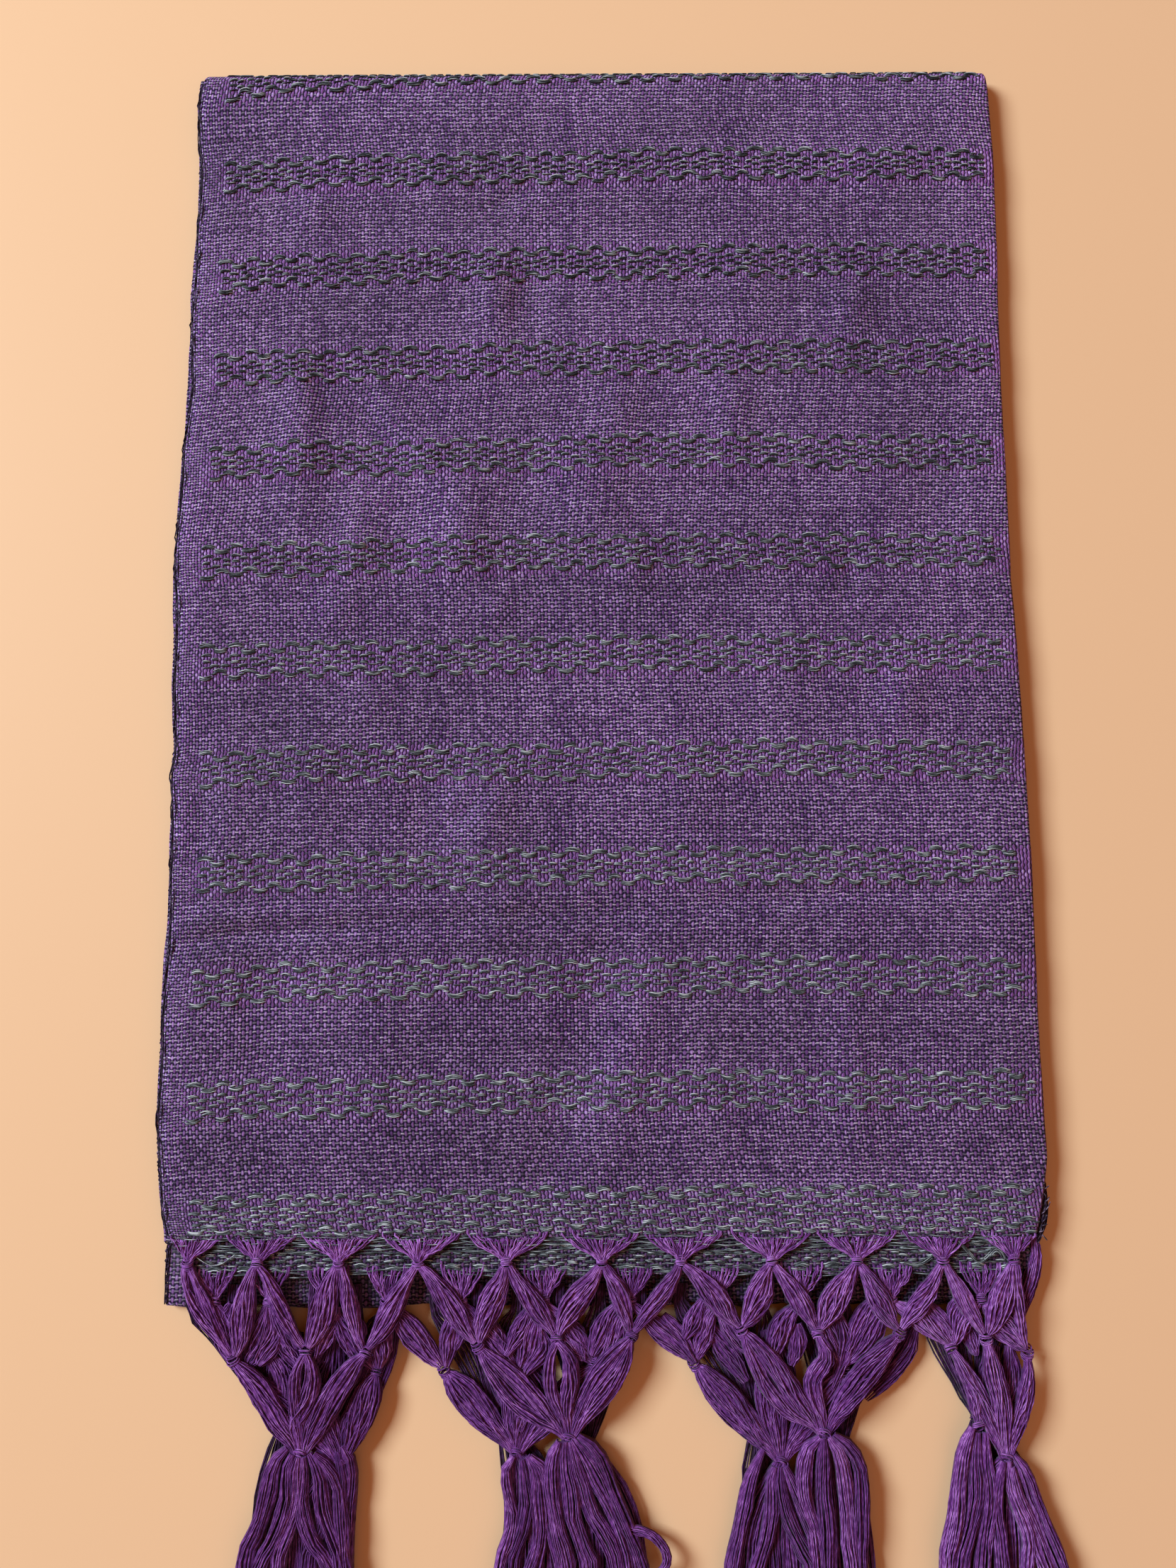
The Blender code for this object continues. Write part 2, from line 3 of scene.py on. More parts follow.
import bpy
import numpy as np
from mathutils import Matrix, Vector


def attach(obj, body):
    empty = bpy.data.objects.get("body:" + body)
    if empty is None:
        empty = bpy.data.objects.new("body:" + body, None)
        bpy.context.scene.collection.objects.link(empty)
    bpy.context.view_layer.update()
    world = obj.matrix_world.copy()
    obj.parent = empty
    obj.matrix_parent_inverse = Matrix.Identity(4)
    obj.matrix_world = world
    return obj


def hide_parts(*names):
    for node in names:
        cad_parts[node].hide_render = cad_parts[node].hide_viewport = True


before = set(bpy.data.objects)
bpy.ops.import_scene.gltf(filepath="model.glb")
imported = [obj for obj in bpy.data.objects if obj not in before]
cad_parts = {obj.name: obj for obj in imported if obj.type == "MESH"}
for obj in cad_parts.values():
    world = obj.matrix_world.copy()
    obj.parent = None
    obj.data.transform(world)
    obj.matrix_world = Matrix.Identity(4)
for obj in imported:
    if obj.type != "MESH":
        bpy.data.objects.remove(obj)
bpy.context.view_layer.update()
scene = bpy.context.scene
mm = 0.001
print("frame loaded:", len(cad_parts), "nodes")

# looking down at the shawl from a little below its middle
cameraSet = {
    "place": (-0.0030, -0.1252, 0.4722),
    "turn": (7.03, 0.07, -0.24),   # degrees
    "lens": 27.03,
}


def makeCamera(values):
    lens = bpy.data.cameras.new("camera")
    lens.lens = values["lens"]
    lens.sensor_width = 36.0
    holder = bpy.data.objects.new("camera", lens)
    holder.location = values["place"]
    holder.rotation_euler = [radians(angle) for angle in values["turn"]]
    scene.collection.objects.link(holder)
    scene.camera = holder


makeCamera(cameraSet)

# sizes in millimetres that every piece of the shawl shares
shawl = {
    "edgeY": (-267, -241, -231, -213, -202, -120, -37, 1, 16, 76, 138, 203, 231, 241),
    "rightX": (168.6, 169.4, 171.4, 171.9, 171.7, 171.4, 171.1, 169.8, 168.8, 169.2, 169.4, 170.4, 169.8,
               168.6),
    "leftY": (-267, -241, -231, -222, -212, -191, -160, -117, -106, -62, -51, -28, -6, 17, 29, 52, 76, 100,
              124, 137, 161, 186, 203, 225, 237, 241),
    "leftX": (-165.6, -165.6, -167.6, -169.0, -169.7, -170.4, -170.0, -169.4, -169.3, -170.3, -169.2, -171.2,
              -170.8, -172.3, -172.4, -171.5, -170.7, -169.2, -169.0, -169.5, -168.3, -168.4, -168.4, -170.3,
              -169.2, -167.4),
    "bowX": (-172, -128, -64, 0, 50, 110, 172),      # the wefts bow, lower at the left
    "bowDrop": (5.0, 2.2, 0.8, 0.0, -0.8, -0.4, 0.0),
    "upperEdgeY": -241.0,
    "lowerEdgeY": -255.0,
    "foldEdgeY": -267.0,
    "warpPitch": 1.387,
    "weftPitch": 1.62,
    "bandWeftPitch": 1.2,
    "bands": (241.6, 195.3, 151.6, 109.4, 68.4, 26.4, -16.0, -59.0, -101.2, -144.0, -187.4, -230.3),
    "bandHalf": 8.4,
    "bandInset": 11.0,             # the bands start this far in from the selvedge
}


def leftEdge(y):
    return np.interp(y, shawl["leftY"], shawl["leftX"])


def rightEdge(y):
    return np.interp(y, shawl["edgeY"], shawl["rightX"])


def bandDrop(x):
    return np.interp(x, shawl["bowX"], shawl["bowDrop"])


def weftDrop(x, t):   # how far a weft hangs below its middle, at x
    ends = np.clip((t + 241) / 14, 0, 1) * np.clip((232 - t) / 20, 0, 1)
    return bandDrop(x) * ends * np.interp(t, (-200, -150, -20, 60, 200), (1.0, 0.85, 0.7, 1.1, 1.35))


def smoothStep(value):
    value = np.clip(value, 0.0, 1.0)
    return value * value * (3.0 - 2.0 * value)


def ripple(along, number, *waves):   # waves are height, length and turn, and the number shifts them
    return sum(height * np.sin(along / length + number * turn) for height, length, turn in waves)


def randomShade(rng, tone, vary):
    return np.clip(rng.normal(tone, vary), 0, 1)


def paint(red, green, blue):   # 0 to 255, as a screen shows it
    parts = np.array((red, green, blue)) / 255.0
    linear = np.where(parts <= 0.04045, parts / 12.92, ((parts + 0.055) / 1.055) ** 2.4)
    return tuple(float(part) for part in linear) + (1.0,)


class nodeMaker:
    def __init__(self, tree):
        self.tree = tree

    def add(self, kind, inputs=None, **settings):
        node = self.tree.nodes.new(kind)
        for name, value in settings.items():
            setattr(node, name, value)
        for key, value in (inputs or {}).items():
            if isinstance(value, bpy.types.NodeSocket):
                self.tree.links.new(value, node.inputs[key])
            else:
                node.inputs[key].default_value = value
        return node

    def math(self, operation, first, second=0.0, third=0.0):
        return self.add("ShaderNodeMath", {0: first, 1: second, 2: third}, operation=operation).outputs[0]

    def plus(self, first, second):
        return self.math("ADD", first, second)

    def minus(self, first, second):
        return self.math("SUBTRACT", first, second)

    def times(self, first, second):
        return self.math("MULTIPLY", first, second)

    def timesPlus(self, first, second, third):
        return self.math("MULTIPLY_ADD", first, second, third)

    def mixColour(self, factor, first, second, blend="MIX"):
        node = self.add("ShaderNodeMix", {0: factor, 6: first, 7: second}, data_type="RGBA", blend_type=blend)
        return node.outputs[2]

    def dim(self, colour, factor):
        return self.mixColour(1.0, colour, self.join(factor, factor, factor), "MULTIPLY")

    def bump(self, shader, height, strength, distance):   # distance in millimetres
        inputs = {"Height": height, "Strength": strength, "Distance": distance * mm}
        self.tree.links.new(self.add("ShaderNodeBump", inputs).outputs[0], shader.inputs["Normal"])

    def span(self, value, low, high, toLow=0.0, toHigh=1.0, smooth=False):
        kind = "SMOOTHSTEP" if smooth else "LINEAR"
        inputs = {"Value": value, "From Min": low, "From Max": high, "To Min": toLow, "To Max": toHigh}
        return self.add("ShaderNodeMapRange", inputs, interpolation_type=kind).outputs[0]

    def attribute(self, name):
        return self.add("ShaderNodeAttribute", attribute_name=name)

    def noise(self, vector, scale, detail=2.0, roughness=0.5):
        inputs = {"Vector": vector, "Scale": scale, "Detail": detail, "Roughness": roughness}
        return self.add("ShaderNodeTexNoise", inputs).outputs[0]

    def speckle(self, vector, scale, amount, detail=2.0):   # noise about zero
        return self.span(self.noise(vector, scale, detail), 0.3, 0.7, -amount, amount)

    def join(self, x, y=0.0, z=0.0):
        return self.add("ShaderNodeCombineXYZ", {0: x, 1: y, 2: z}).outputs[0]

    def random(self, vector):
        return self.add("ShaderNodeTexWhiteNoise", {"Vector": vector}, noise_dimensions="3D").outputs[0]


def newFinish(name, roughness, sheen):
    material = bpy.data.materials.new(name)
    material.use_nodes = True
    shader = material.node_tree.nodes["Principled BSDF"]
    shader.inputs["Roughness"].default_value = roughness
    shader.inputs["Sheen Weight"].default_value = sheen
    shader.inputs["Sheen Roughness"].default_value = 0.5
    shader.inputs["Specular IOR Level"].default_value = 0.15
    return material, nodeMaker(material.node_tree), shader


weaveLook = {
    "warpHalf": 0.34,              # half the width of a warp, in pitches
    "bandWarpHalf": 0.2856,        # and where the brocade crowds them
    "weftHalf": 0.33,
    "warpColours": ((146, 106, 174), (102, 62, 132)),
    # warpPale paints the highlight on the warps' crowns
    "warpPale": (160, 140, 194),
    "warpRed": (133, 79, 154),
    "bandWarp": (143, 88, 170),
    # weftPale is partly the weft's pale ply, partly a painted highlight
    "weftPale": (178, 168, 190),
    "weftDark": (55, 41, 82),
    "bandWeftPale": (120, 126, 134),
    # the gap colour is painted shade in the hollows between yarns
    "gap": (18, 6, 44),
    "wander": 0.5,
    "jitter": 0.34,
    "shuffle": 0.16,
    "bump": 0.2,                   # millimetres
    "brightness": (0.62, 0.9),     # from patch to patch
    "fringeEnd": -0.1,             # painted light and shade, added from place to place: darker at the fringe end, lighter towards the fold end, beside the selvedge and on the fold, darker at one corner
    "foldEnd": 0.02,
    "selvedge": 0.22,
    "foldLight": 0.18,
    "cornerShade": -0.12,
    "warpLight": 0.08,             # warps catch more light
    "cell": 0.16,
    "clump": 0.08,
    "fleck": 0.14,
    "fibre": 0.12,
    "streak": 0.08,
}


def weaveFinish(name, look, paintedShade=1.0):
    material, nodes, shader = newFinish(name, 0.9, 0.04)
    plus, minus, times, timesPlus, span = nodes.plus, nodes.minus, nodes.times, nodes.timesPlus, nodes.span
    place = nodes.add("ShaderNodeTexCoord").outputs["Object"]
    placeX, placeY, _ = nodes.add("ShaderNodeSeparateXYZ", {0: place}).outputs
    weave = nodes.add("ShaderNodeUVMap", uv_map="weave").outputs[0]
    acrossAt, alongAt, _ = nodes.add("ShaderNodeSeparateXYZ", {0: weave}).outputs
    band = nodes.attribute("band").outputs["Fac"]

    def byBand(plain, onBand):
        return span(band, 0.0, 1.0, plain, onBand)

    # yarns run a little unevenly
    shifted = [nodes.add("ShaderNodeVectorMath", {0: weave, 1: (31.0 * step, 17.0 * step, 5.0)}).outputs[0]
               for step in (1, 2, 3)]
    warpAt = timesPlus(nodes.noise(weave, 0.09), look["wander"], acrossAt)
    warpAt = timesPlus(nodes.noise(shifted[1], 0.75, 3.0), look["jitter"], warpAt)
    weftAt = timesPlus(nodes.noise(shifted[0], 0.12), look["wander"] * 2.2, alongAt)
    weftAt = timesPlus(nodes.noise(shifted[2], 0.7, 3.0), look["jitter"] * 1.6, weftAt)
    warpNumber = nodes.math("FLOOR", warpAt)
    weftNumber = nodes.math("FLOOR", weftAt)
    cellRandom = nodes.random(nodes.join(warpNumber, weftNumber))
    hueRandom = nodes.random(nodes.join(weftNumber, warpNumber, 9.0))
    warpRandom = nodes.random(nodes.join(warpNumber, 3.0))
    rowRandom = nodes.random(nodes.join(5.0, weftNumber, 2.0))
    stretch = nodes.math("FLOOR", timesPlus(warpAt, 0.16, rowRandom))
    weftRandom = nodes.random(nodes.join(stretch, weftNumber, 7.0))
    acrossWeft = minus(nodes.math("FRACT", weftAt), 0.5)
    acrossWarp = minus(nodes.math("FRACT", warpAt), 0.5 + look["shuffle"] / 2)
    acrossWarp = timesPlus(hueRandom, look["shuffle"], acrossWarp)

    # which yarn lies on top
    parity = nodes.math("MODULO", plus(plus(warpNumber, weftNumber), 4000.0), 2.0)
    over = timesPlus(parity, -2.0, 1.0)
    warpLift, weftLift = [times(over, nodes.math("COSINE", times(across, pi)))
                          for across in (acrossWeft, acrossWarp)]
    slub = span(nodes.noise(nodes.join(warpNumber, times(weftAt, 0.45)), 0.9), 0.25, 0.75, 0.72, 1.25)
    offWarp = nodes.math("DIVIDE", acrossWarp, times(slub, byBand(look["warpHalf"], look["bandWarpHalf"])))
    offWeft = nodes.math("DIVIDE", acrossWeft, look["weftHalf"])
    warpRound, weftRound = [nodes.math("MAXIMUM", minus(1.0, times(off, off)), -1.2)
                            for off in (offWarp, offWeft)]
    warpTop = timesPlus(warpRound, 0.5, times(warpLift, byBand(0.5, 0.42)))
    warpTop = timesPlus(band, 0.5, warpTop)
    balance = nodes.speckle(shifted[0], 0.045, 0.2)
    weftTop = timesPlus(weftLift, -0.62, timesPlus(weftRound, 0.5, balance))
    weftTop = timesPlus(band, -0.5, weftTop)
    height = nodes.math("MAXIMUM", nodes.math("MAXIMUM", warpTop, weftTop), -0.3)
    isWarp = span(minus(warpTop, weftTop), -0.06, 0.06, smooth=True)

    # colours
    warpColour = nodes.mixColour(warpRandom, *[paint(*colour) for colour in look["warpColours"]])
    warpColour = nodes.mixColour(span(hueRandom, 0.5, 1.0, 0.0, 0.6), warpColour, paint(*look["warpRed"]))
    warpColour = nodes.mixColour(times(band, 0.6), warpColour, paint(*look["bandWarp"]))
    # painted shade in the parting between a warp's two strands
    split = span(nodes.math("ABSOLUTE", offWarp), 0.04, 0.36, 0.64, 1.0, smooth=True)
    warpColour = nodes.dim(warpColour, split)
    # painted highlight on the crown of a warp, where it rises highest
    crown = times(span(cellRandom, 0.3, 1.0, 0.0, 0.9), span(warpTop, 0.5, 1.1))
    warpColour = nodes.mixColour(crown, warpColour, paint(*look["warpPale"]))
    # a pale dash on the upper side of each weft: partly its pale ply, partly a painted highlight; the dark
    # weft colour below it is partly painted shade
    offDash = nodes.math("ABSOLUTE", timesPlus(hueRandom, 0.2, minus(acrossWeft, 0.17)))
    mixed = timesPlus(weftRandom, 0.3, times(cellRandom, 0.7))
    dash = times(span(offDash, 0.05, 0.22, 1.0, 0.0, smooth=True), span(mixed, 0.05, 0.8, 0.2, 1.0))
    pale = nodes.mixColour(band, paint(*look["weftPale"]), paint(*look["bandWeftPale"]))
    weftColour = nodes.mixColour(dash, paint(*look["weftDark"]), pale)
    colour = nodes.mixColour(isWarp, weftColour, warpColour)
    # painted shade: the lower a place lies between the yarns, the closer it comes to the dark gap colour
    colour = nodes.mixColour(span(height, 0.08, 0.66, smooth=True), paint(*look["gap"]), colour)

    # tone from patch to patch, with painted light and shade, placed in metres from the middle of the shawl
    patches = span(nodes.noise(place, 11.0, 3.0), 0.3, 0.7, *look["brightness"])
    # painted light falloff: darker towards the fringe end, lighter towards the fold end
    toneAndPaintedLight = plus(patches, span(placeY, -0.24, 0.24, look["fringeEnd"], look["foldEnd"]))
    cells = span(cellRandom, 0.0, 1.0, -look["cell"], look["cell"])
    toneAndPaintedLight = plus(toneAndPaintedLight, plus(nodes.speckle(place, 420.0, look["clump"]), cells))
    toneAndPaintedLight = timesPlus(over, byBand(look["warpLight"], 0.0), toneAndPaintedLight)
    # painted light beside the left selvedge and on the right fold, painted shade at one corner
    toneAndPaintedLight = plus(toneAndPaintedLight, span(placeX, -0.166, -0.156, look["selvedge"], 0.0))
    fold = times(span(placeX, 0.145, 0.158), span(placeY, 0.02, 0.07))
    toneAndPaintedLight = timesPlus(fold, look["foldLight"], toneAndPaintedLight)
    corner = times(span(placeX, -0.02, -0.14), span(placeY, 0.16, 0.21))
    toneAndPaintedLight = timesPlus(corner, look["cornerShade"], toneAndPaintedLight)
    streak = span(rowRandom, 0.0, 1.0, -look["streak"], look["streak"])
    grain = plus(streak, nodes.speckle(place, 2600.0, look["fibre"]))
    tone = plus(plus(toneAndPaintedLight, nodes.speckle(place, 1100.0, look["fleck"])), grain)
    if paintedShade < 1.0:       # painted shade on the under layers, deeper still where the fringe covers it
        paintedShade = span(placeX, -0.154, -0.147, paintedShade * 1.1, paintedShade * 0.78)
    colour = nodes.dim(colour, times(tone, paintedShade))
    nodes.tree.links.new(colour, shader.inputs["Base Color"])
    nodes.bump(shader, height, 0.9, look["bump"])
    return material


yarnLook = {                       # ply length in millimetres; shadow is painted shade on each yarn's underside, and upper paints one side lighter as a highlight
    "cotton": {
        "dark": (66, 25, 86), "mid": (106, 52, 128), "light": (170, 114, 198), "shadow": (56, 19, 68),
        "plyLength": 3.2, "plyMark": 0.14, "upper": 0.05, "least": 0.35,
    },
    # the same cotton painted darker, as shade, for the tassels under the cloth
    "shadedUnderCotton": {
        "dark": (34, 12, 42), "mid": (74, 33, 90), "light": (136, 84, 160), "shadow": (26, 8, 32),
        "plyLength": 3.2, "plyMark": 0.14, "upper": 0.05, "least": 0.3,
    },
    "brocade": {
        "dark": (36, 39, 46), "mid": (98, 105, 112), "light": (182, 188, 196), "shadow": (14, 12, 18),
        "plyLength": 7.5, "plyMark": 0.3, "upper": 0.4, "least": 0.0,
    },
    "edge": {
        "dark": (22, 12, 30), "mid": (50, 32, 64), "light": (124, 108, 134), "shadow": (8, 4, 12),
        "plyLength": 2.6, "plyMark": 0.4, "upper": 0.2, "least": 0.0,
    },
}


def yarnFinish(name, look):
    material, nodes, shader = newFinish(name, 0.85, 0.06)
    times, timesPlus = nodes.times, nodes.timesPlus
    place = nodes.add("ShaderNodeTexCoord").outputs["Object"]
    ring = nodes.attribute("ring").outputs["Vector"]
    sideways, downward, _ = nodes.add("ShaderNodeSeparateXYZ", {0: ring}).outputs
    along, shade, soft = [nodes.attribute(label).outputs["Fac"] for label in ("along", "shade", "soft")]
    turns = timesPlus(along, 2 * pi / (look["plyLength"] * mm), nodes.math("ARCTAN2", sideways, downward))
    twist = nodes.math("SINE", timesPlus(shade, 40.0, turns))
    fibre = nodes.noise(place, 2600.0, 3.0)
    value = timesPlus(twist, look["plyMark"], 0.36)
    for varied, gain in ((shade, 0.7), (nodes.noise(place, 260.0, 2.0), 1.1)):
        value = timesPlus(nodes.minus(varied, 0.5), gain, value)
    # painted highlight: one side of each yarn, the side towards the light, is made lighter
    value = timesPlus(times(sideways, -1.0), look["upper"], value)
    value = timesPlus(nodes.minus(fibre, 0.5), 0.5, value)
    ramp = nodes.add("ShaderNodeValToRGB", {0: value})
    ramp.color_ramp.elements[0].color = paint(*look["dark"])
    ramp.color_ramp.elements[1].color = paint(*look["light"])
    ramp.color_ramp.elements.new(0.45).color = paint(*look["mid"])
    # painted shade on each yarn's underside; soft yarns and least keep some of the lit colour there
    under = nodes.span(times(downward, -1.0), -0.6, 0.5, smooth=True)
    under = nodes.math("MAXIMUM", under, timesPlus(soft, 0.4, look["least"]))
    colour = nodes.mixColour(under, paint(*look["shadow"]), ramp.outputs[0])
    nodes.tree.links.new(colour, shader.inputs["Base Color"])
    nodes.bump(shader, timesPlus(twist, 0.35, fibre), 0.5, 0.08)
    return material


wovenCloth = weaveFinish("wovenCloth", weaveLook)
# the under layers are painted darker, as shade
wovenClothUnder = weaveFinish("wovenClothUnder", weaveLook, 0.8)
fringeCotton = yarnFinish("fringeCotton", yarnLook["cotton"])
fringeCottonShaded = yarnFinish("fringeCottonShaded", yarnLook["shadedUnderCotton"])
brocadeWeft = yarnFinish("brocadeWeft", yarnLook["brocade"])
selvedgeYarn = yarnFinish("selvedgeYarn", yarnLook["edge"])
print("finishes ready")


# yarns are paths swept with Geometry Nodes
def makeYarnTree():
    tree = bpy.data.node_groups.new("yarnSweep", "GeometryNodeTree")
    inputs = {"Geometry": "Geometry", "Sides": "Int", "Thickness": "Float", "Finish": "Material"}
    for name, kind in inputs.items():
        tree.interface.new_socket(name, in_out="INPUT", socket_type="NodeSocket" + kind)
    tree.interface.new_socket("Geometry", in_out="OUTPUT", socket_type="NodeSocketGeometry")
    nodes = nodeMaker(tree)
    given = nodes.add("NodeGroupInput").outputs
    curve = nodes.add("GeometryNodeMeshToCurve", {"Mesh": given["Geometry"]})
    upright = nodes.add("GeometryNodeSetCurveNormal", {"Curve": curve.outputs[0]}, mode="Z_UP")
    run = nodes.add("GeometryNodeSplineParameter")
    marked = nodes.add("GeometryNodeStoreNamedAttribute", {"Geometry": upright.outputs[0], "Name": "along"},
                       data_type="FLOAT", domain="POINT")
    tree.links.new(run.outputs["Length"], marked.inputs["Value"])
    circle = nodes.add("GeometryNodeCurvePrimitiveCircle", {"Resolution": given["Sides"], "Radius": 1.0})
    quarter = {"Geometry": circle.outputs[0], "Rotation": (0.0, 0.0, -pi / 2)}
    turned = nodes.add("GeometryNodeTransform", quarter)
    ring = nodes.add("GeometryNodeStoreNamedAttribute", {"Geometry": turned.outputs[0], "Name": "ring"},
                     data_type="FLOAT_VECTOR", domain="POINT")
    tree.links.new(nodes.add("GeometryNodeInputPosition").outputs[0], ring.inputs["Value"])
    radius = nodes.add("GeometryNodeInputNamedAttribute", {"Name": "radius"}, data_type="FLOAT")
    scale = nodes.math("MULTIPLY", radius.outputs["Attribute"], given["Thickness"])
    tube = nodes.add("GeometryNodeCurveToMesh", {"Curve": marked.outputs[0], "Profile Curve": ring.outputs[0],
                                                 "Scale": scale, "Fill Caps": True})
    smooth = nodes.add("GeometryNodeSetShadeSmooth", {0: tube.outputs[0]})
    real = nodes.add("GeometryNodeRealizeInstances", {0: smooth.outputs[0]})
    finish = nodes.add("GeometryNodeSetMaterial", {"Geometry": real.outputs[0], "Material": given["Finish"]})
    nodes.add("NodeGroupOutput", {0: finish.outputs[0]})
    return tree


yarnTree = makeYarnTree()


class yarnSet:
    def __init__(self, seed):
        self.rng = np.random.default_rng(seed)
        self.paths = []
        self.radii = []
        self.shades = []
        self.softs = []
        self.softness = 0.0

    def add(self, path, radius, shade):
        path = np.asarray(path, float)
        self.paths.append(path)
        self.radii.append(np.broadcast_to(np.asarray(radius, float), len(path)))
        self.shades.append(np.full(len(path), float(shade)))
        self.softs.append(np.full(len(path), self.softness))

    def sweep(self, name, material, sides=3):
        points = np.concatenate(self.paths) * mm
        counts = [len(path) for path in self.paths]
        starts = np.cumsum([0] + counts[:-1])
        edges = [np.stack((np.arange(n - 1), np.arange(1, n)), 1) + start for n, start in zip(counts, starts)]
        edges = np.concatenate(edges)
        mesh = bpy.data.meshes.new(name + "Paths")
        mesh.vertices.add(len(points))
        mesh.vertices.foreach_set("co", points.ravel())
        mesh.edges.add(len(edges))
        mesh.edges.foreach_set("vertices", edges.ravel())
        columns = {"radius": (self.radii, mm), "shade": (self.shades, 1.0), "soft": (self.softs, 1.0)}
        for label, (values, gain) in columns.items():
            attribute = mesh.attributes.new(label, "FLOAT", "POINT")
            attribute.data.foreach_set("value", np.concatenate(values) * gain)
        paths = bpy.data.objects.new(name + "Paths", mesh)
        scene.collection.objects.link(paths)
        modifier = paths.modifiers.new("yarns", "NODES")
        modifier.node_group = yarnTree
        for item in yarnTree.interface.items_tree:
            value = {"Sides": sides, "Thickness": 1.0, "Finish": material}.get(item.name)
            if item.in_out == "INPUT" and value is not None:
                modifier[item.identifier] = value
        depsgraph = bpy.context.evaluated_depsgraph_get()
        result = bpy.data.meshes.new_from_object(paths.evaluated_get(depsgraph), depsgraph=depsgraph)
        bpy.data.objects.remove(paths)
        bpy.data.meshes.remove(mesh)
        result.name = name
        piece = bpy.data.objects.new(name, result)
        scene.collection.objects.link(piece)
        if not result.materials:
            result.materials.append(material)
        triangles = sum(len(face.vertices) - 2 for face in result.polygons)
        print(name, len(self.paths), "yarns", triangles, "triangles")
        return piece


def smoothPath(knots, count):   # a curve through its knots
    knots = np.asarray(knots, float)
    before = np.vstack((2 * knots[0] - knots[1], knots, 2 * knots[-1] - knots[-2]))
    lengths = np.concatenate(([0], np.cumsum(np.linalg.norm(np.diff(knots[:, :3], axis=0), axis=1))))
    where = np.linspace(0, lengths[-1], count)
    index = np.clip(np.searchsorted(lengths, where, "right") - 1, 0, len(knots) - 2)
    part = ((where - lengths[index]) / (lengths[index + 1] - lengths[index]))[:, None]
    a, b, c, d = (before[index + shift] for shift in range(4))
    return 0.5 * (2 * b + (c - a) * part + (2 * a - 5 * b + 4 * c - d) * part ** 2
                  + (3 * b - a - 3 * c + d) * part ** 3)


def bundle(yarns, stations, count, radius=0.27, steps=10, turn=0.0, loose=0.14, ragged=0, fill=0.3,
           tone=0.5, vary=0.14):
    # stations are x, y, z, half width and half depth of the bunch
    rng = yarns.rng
    line = smoothPath(stations, steps)
    middleLine, halfWide, halfDeep = line[:, :3], line[:, 3], line[:, 4]
    ahead = np.gradient(middleLine, axis=0)
    side = np.stack((-ahead[:, 1], ahead[:, 0], np.zeros(steps)), 1)
    side /= np.linalg.norm(side, axis=1)[:, None]
    share = np.linspace(0, 1, steps)
    middle = np.sin(share * pi)
    cores = 5 if steps < 16 else 3
    for spot in np.linspace(-0.72, 0.72, cores):       # thick yarns fill the inside, painted darker as the shade within the bunch
        core = middleLine + side * (spot * halfWide)[:, None]
        thick = np.minimum(halfDeep * 0.8, halfWide * 1.9 / cores)
        core[:, 2] = np.maximum(core[:, 2] + halfDeep * 0.92 * sqrt(1 - spot * spot) - thick, thick)
        yarns.add(core[:-1], thick[:-1], tone - (0.16 if yarns.softness else 0.2))
    count = int(count * (1 + abs(turn) * 0.22))
    for number in range(count):
        angle = (pi + abs(turn)) * (number + rng.uniform(0.0, 1.0)) / count - max(turn, 0.0)
        inner = 1.0 if rng.random() > fill else rng.uniform(0.5, 0.85)
        drift = loose * np.sin(share * rng.uniform(3.0, 9.0) + rng.uniform(0, 6.3)) * middle
        swing = angle + turn * share + drift
        upward = inner * np.sin(swing) + loose * np.sin(share * rng.uniform(4, 9) + angle * 9) * middle
        path = middleLine + side * (inner * np.cos(swing) * halfWide)[:, None]
        path += rng.normal(0, 0.17, (steps, 3)) * np.minimum(middle * 3.0, 1.0)[:, None]
        path[:, 2] = np.maximum(path[:, 2] + upward * halfDeep, radius + 0.1)
        keep = steps - int(rng.integers(0, ragged)) if ragged else steps
        thick = np.full(keep, radius * rng.uniform(0.82, 1.2))
        thick[-1] *= 0.7
        # painted light: strands on top of the bunch lighter, those at its sides darker
        paintedTopLight = (0.2 if yarns.softness else 0.38) * (sin(angle + 0.5 * turn) - 0.55)
        yarns.add(path[:keep], thick, randomShade(rng, tone + paintedTopLight, vary))


def tie(yarns, centre, heading, halfWide, halfDeep, turns=5, length=3.2, radius=0.36, lean=0.5, tone=0.55):
    # yarns wound round a bunch
    rng = yarns.rng
    heading = np.asarray(heading, float)
    heading = heading / np.linalg.norm(heading)
    side = np.array((-heading[1], heading[0], 0.0))
    side /= np.linalg.norm(side)
    angles = np.linspace(-0.6 * pi, 1.45 * pi, 13)[:, None]
    for number in range(turns):
        away = (number / max(turns - 1, 1) - 0.5) * length + rng.uniform(-0.15, 0.15)
        belly = (1.0 - 0.25 * (2 * away / length) ** 2) * rng.uniform(0.92, 1.1)
        slope = lean + rng.uniform(-0.5, 0.5)
        path = np.asarray(centre) + heading * (away + slope * np.sin(angles))
        path = path + side * (halfWide * belly * np.cos(angles))
        path[:, 2] = np.maximum(path[:, 2] + halfDeep * belly * np.sin(angles[:, 0]), radius + 0.05)
        yarns.add(path, radius, randomShade(rng, tone, 0.18))


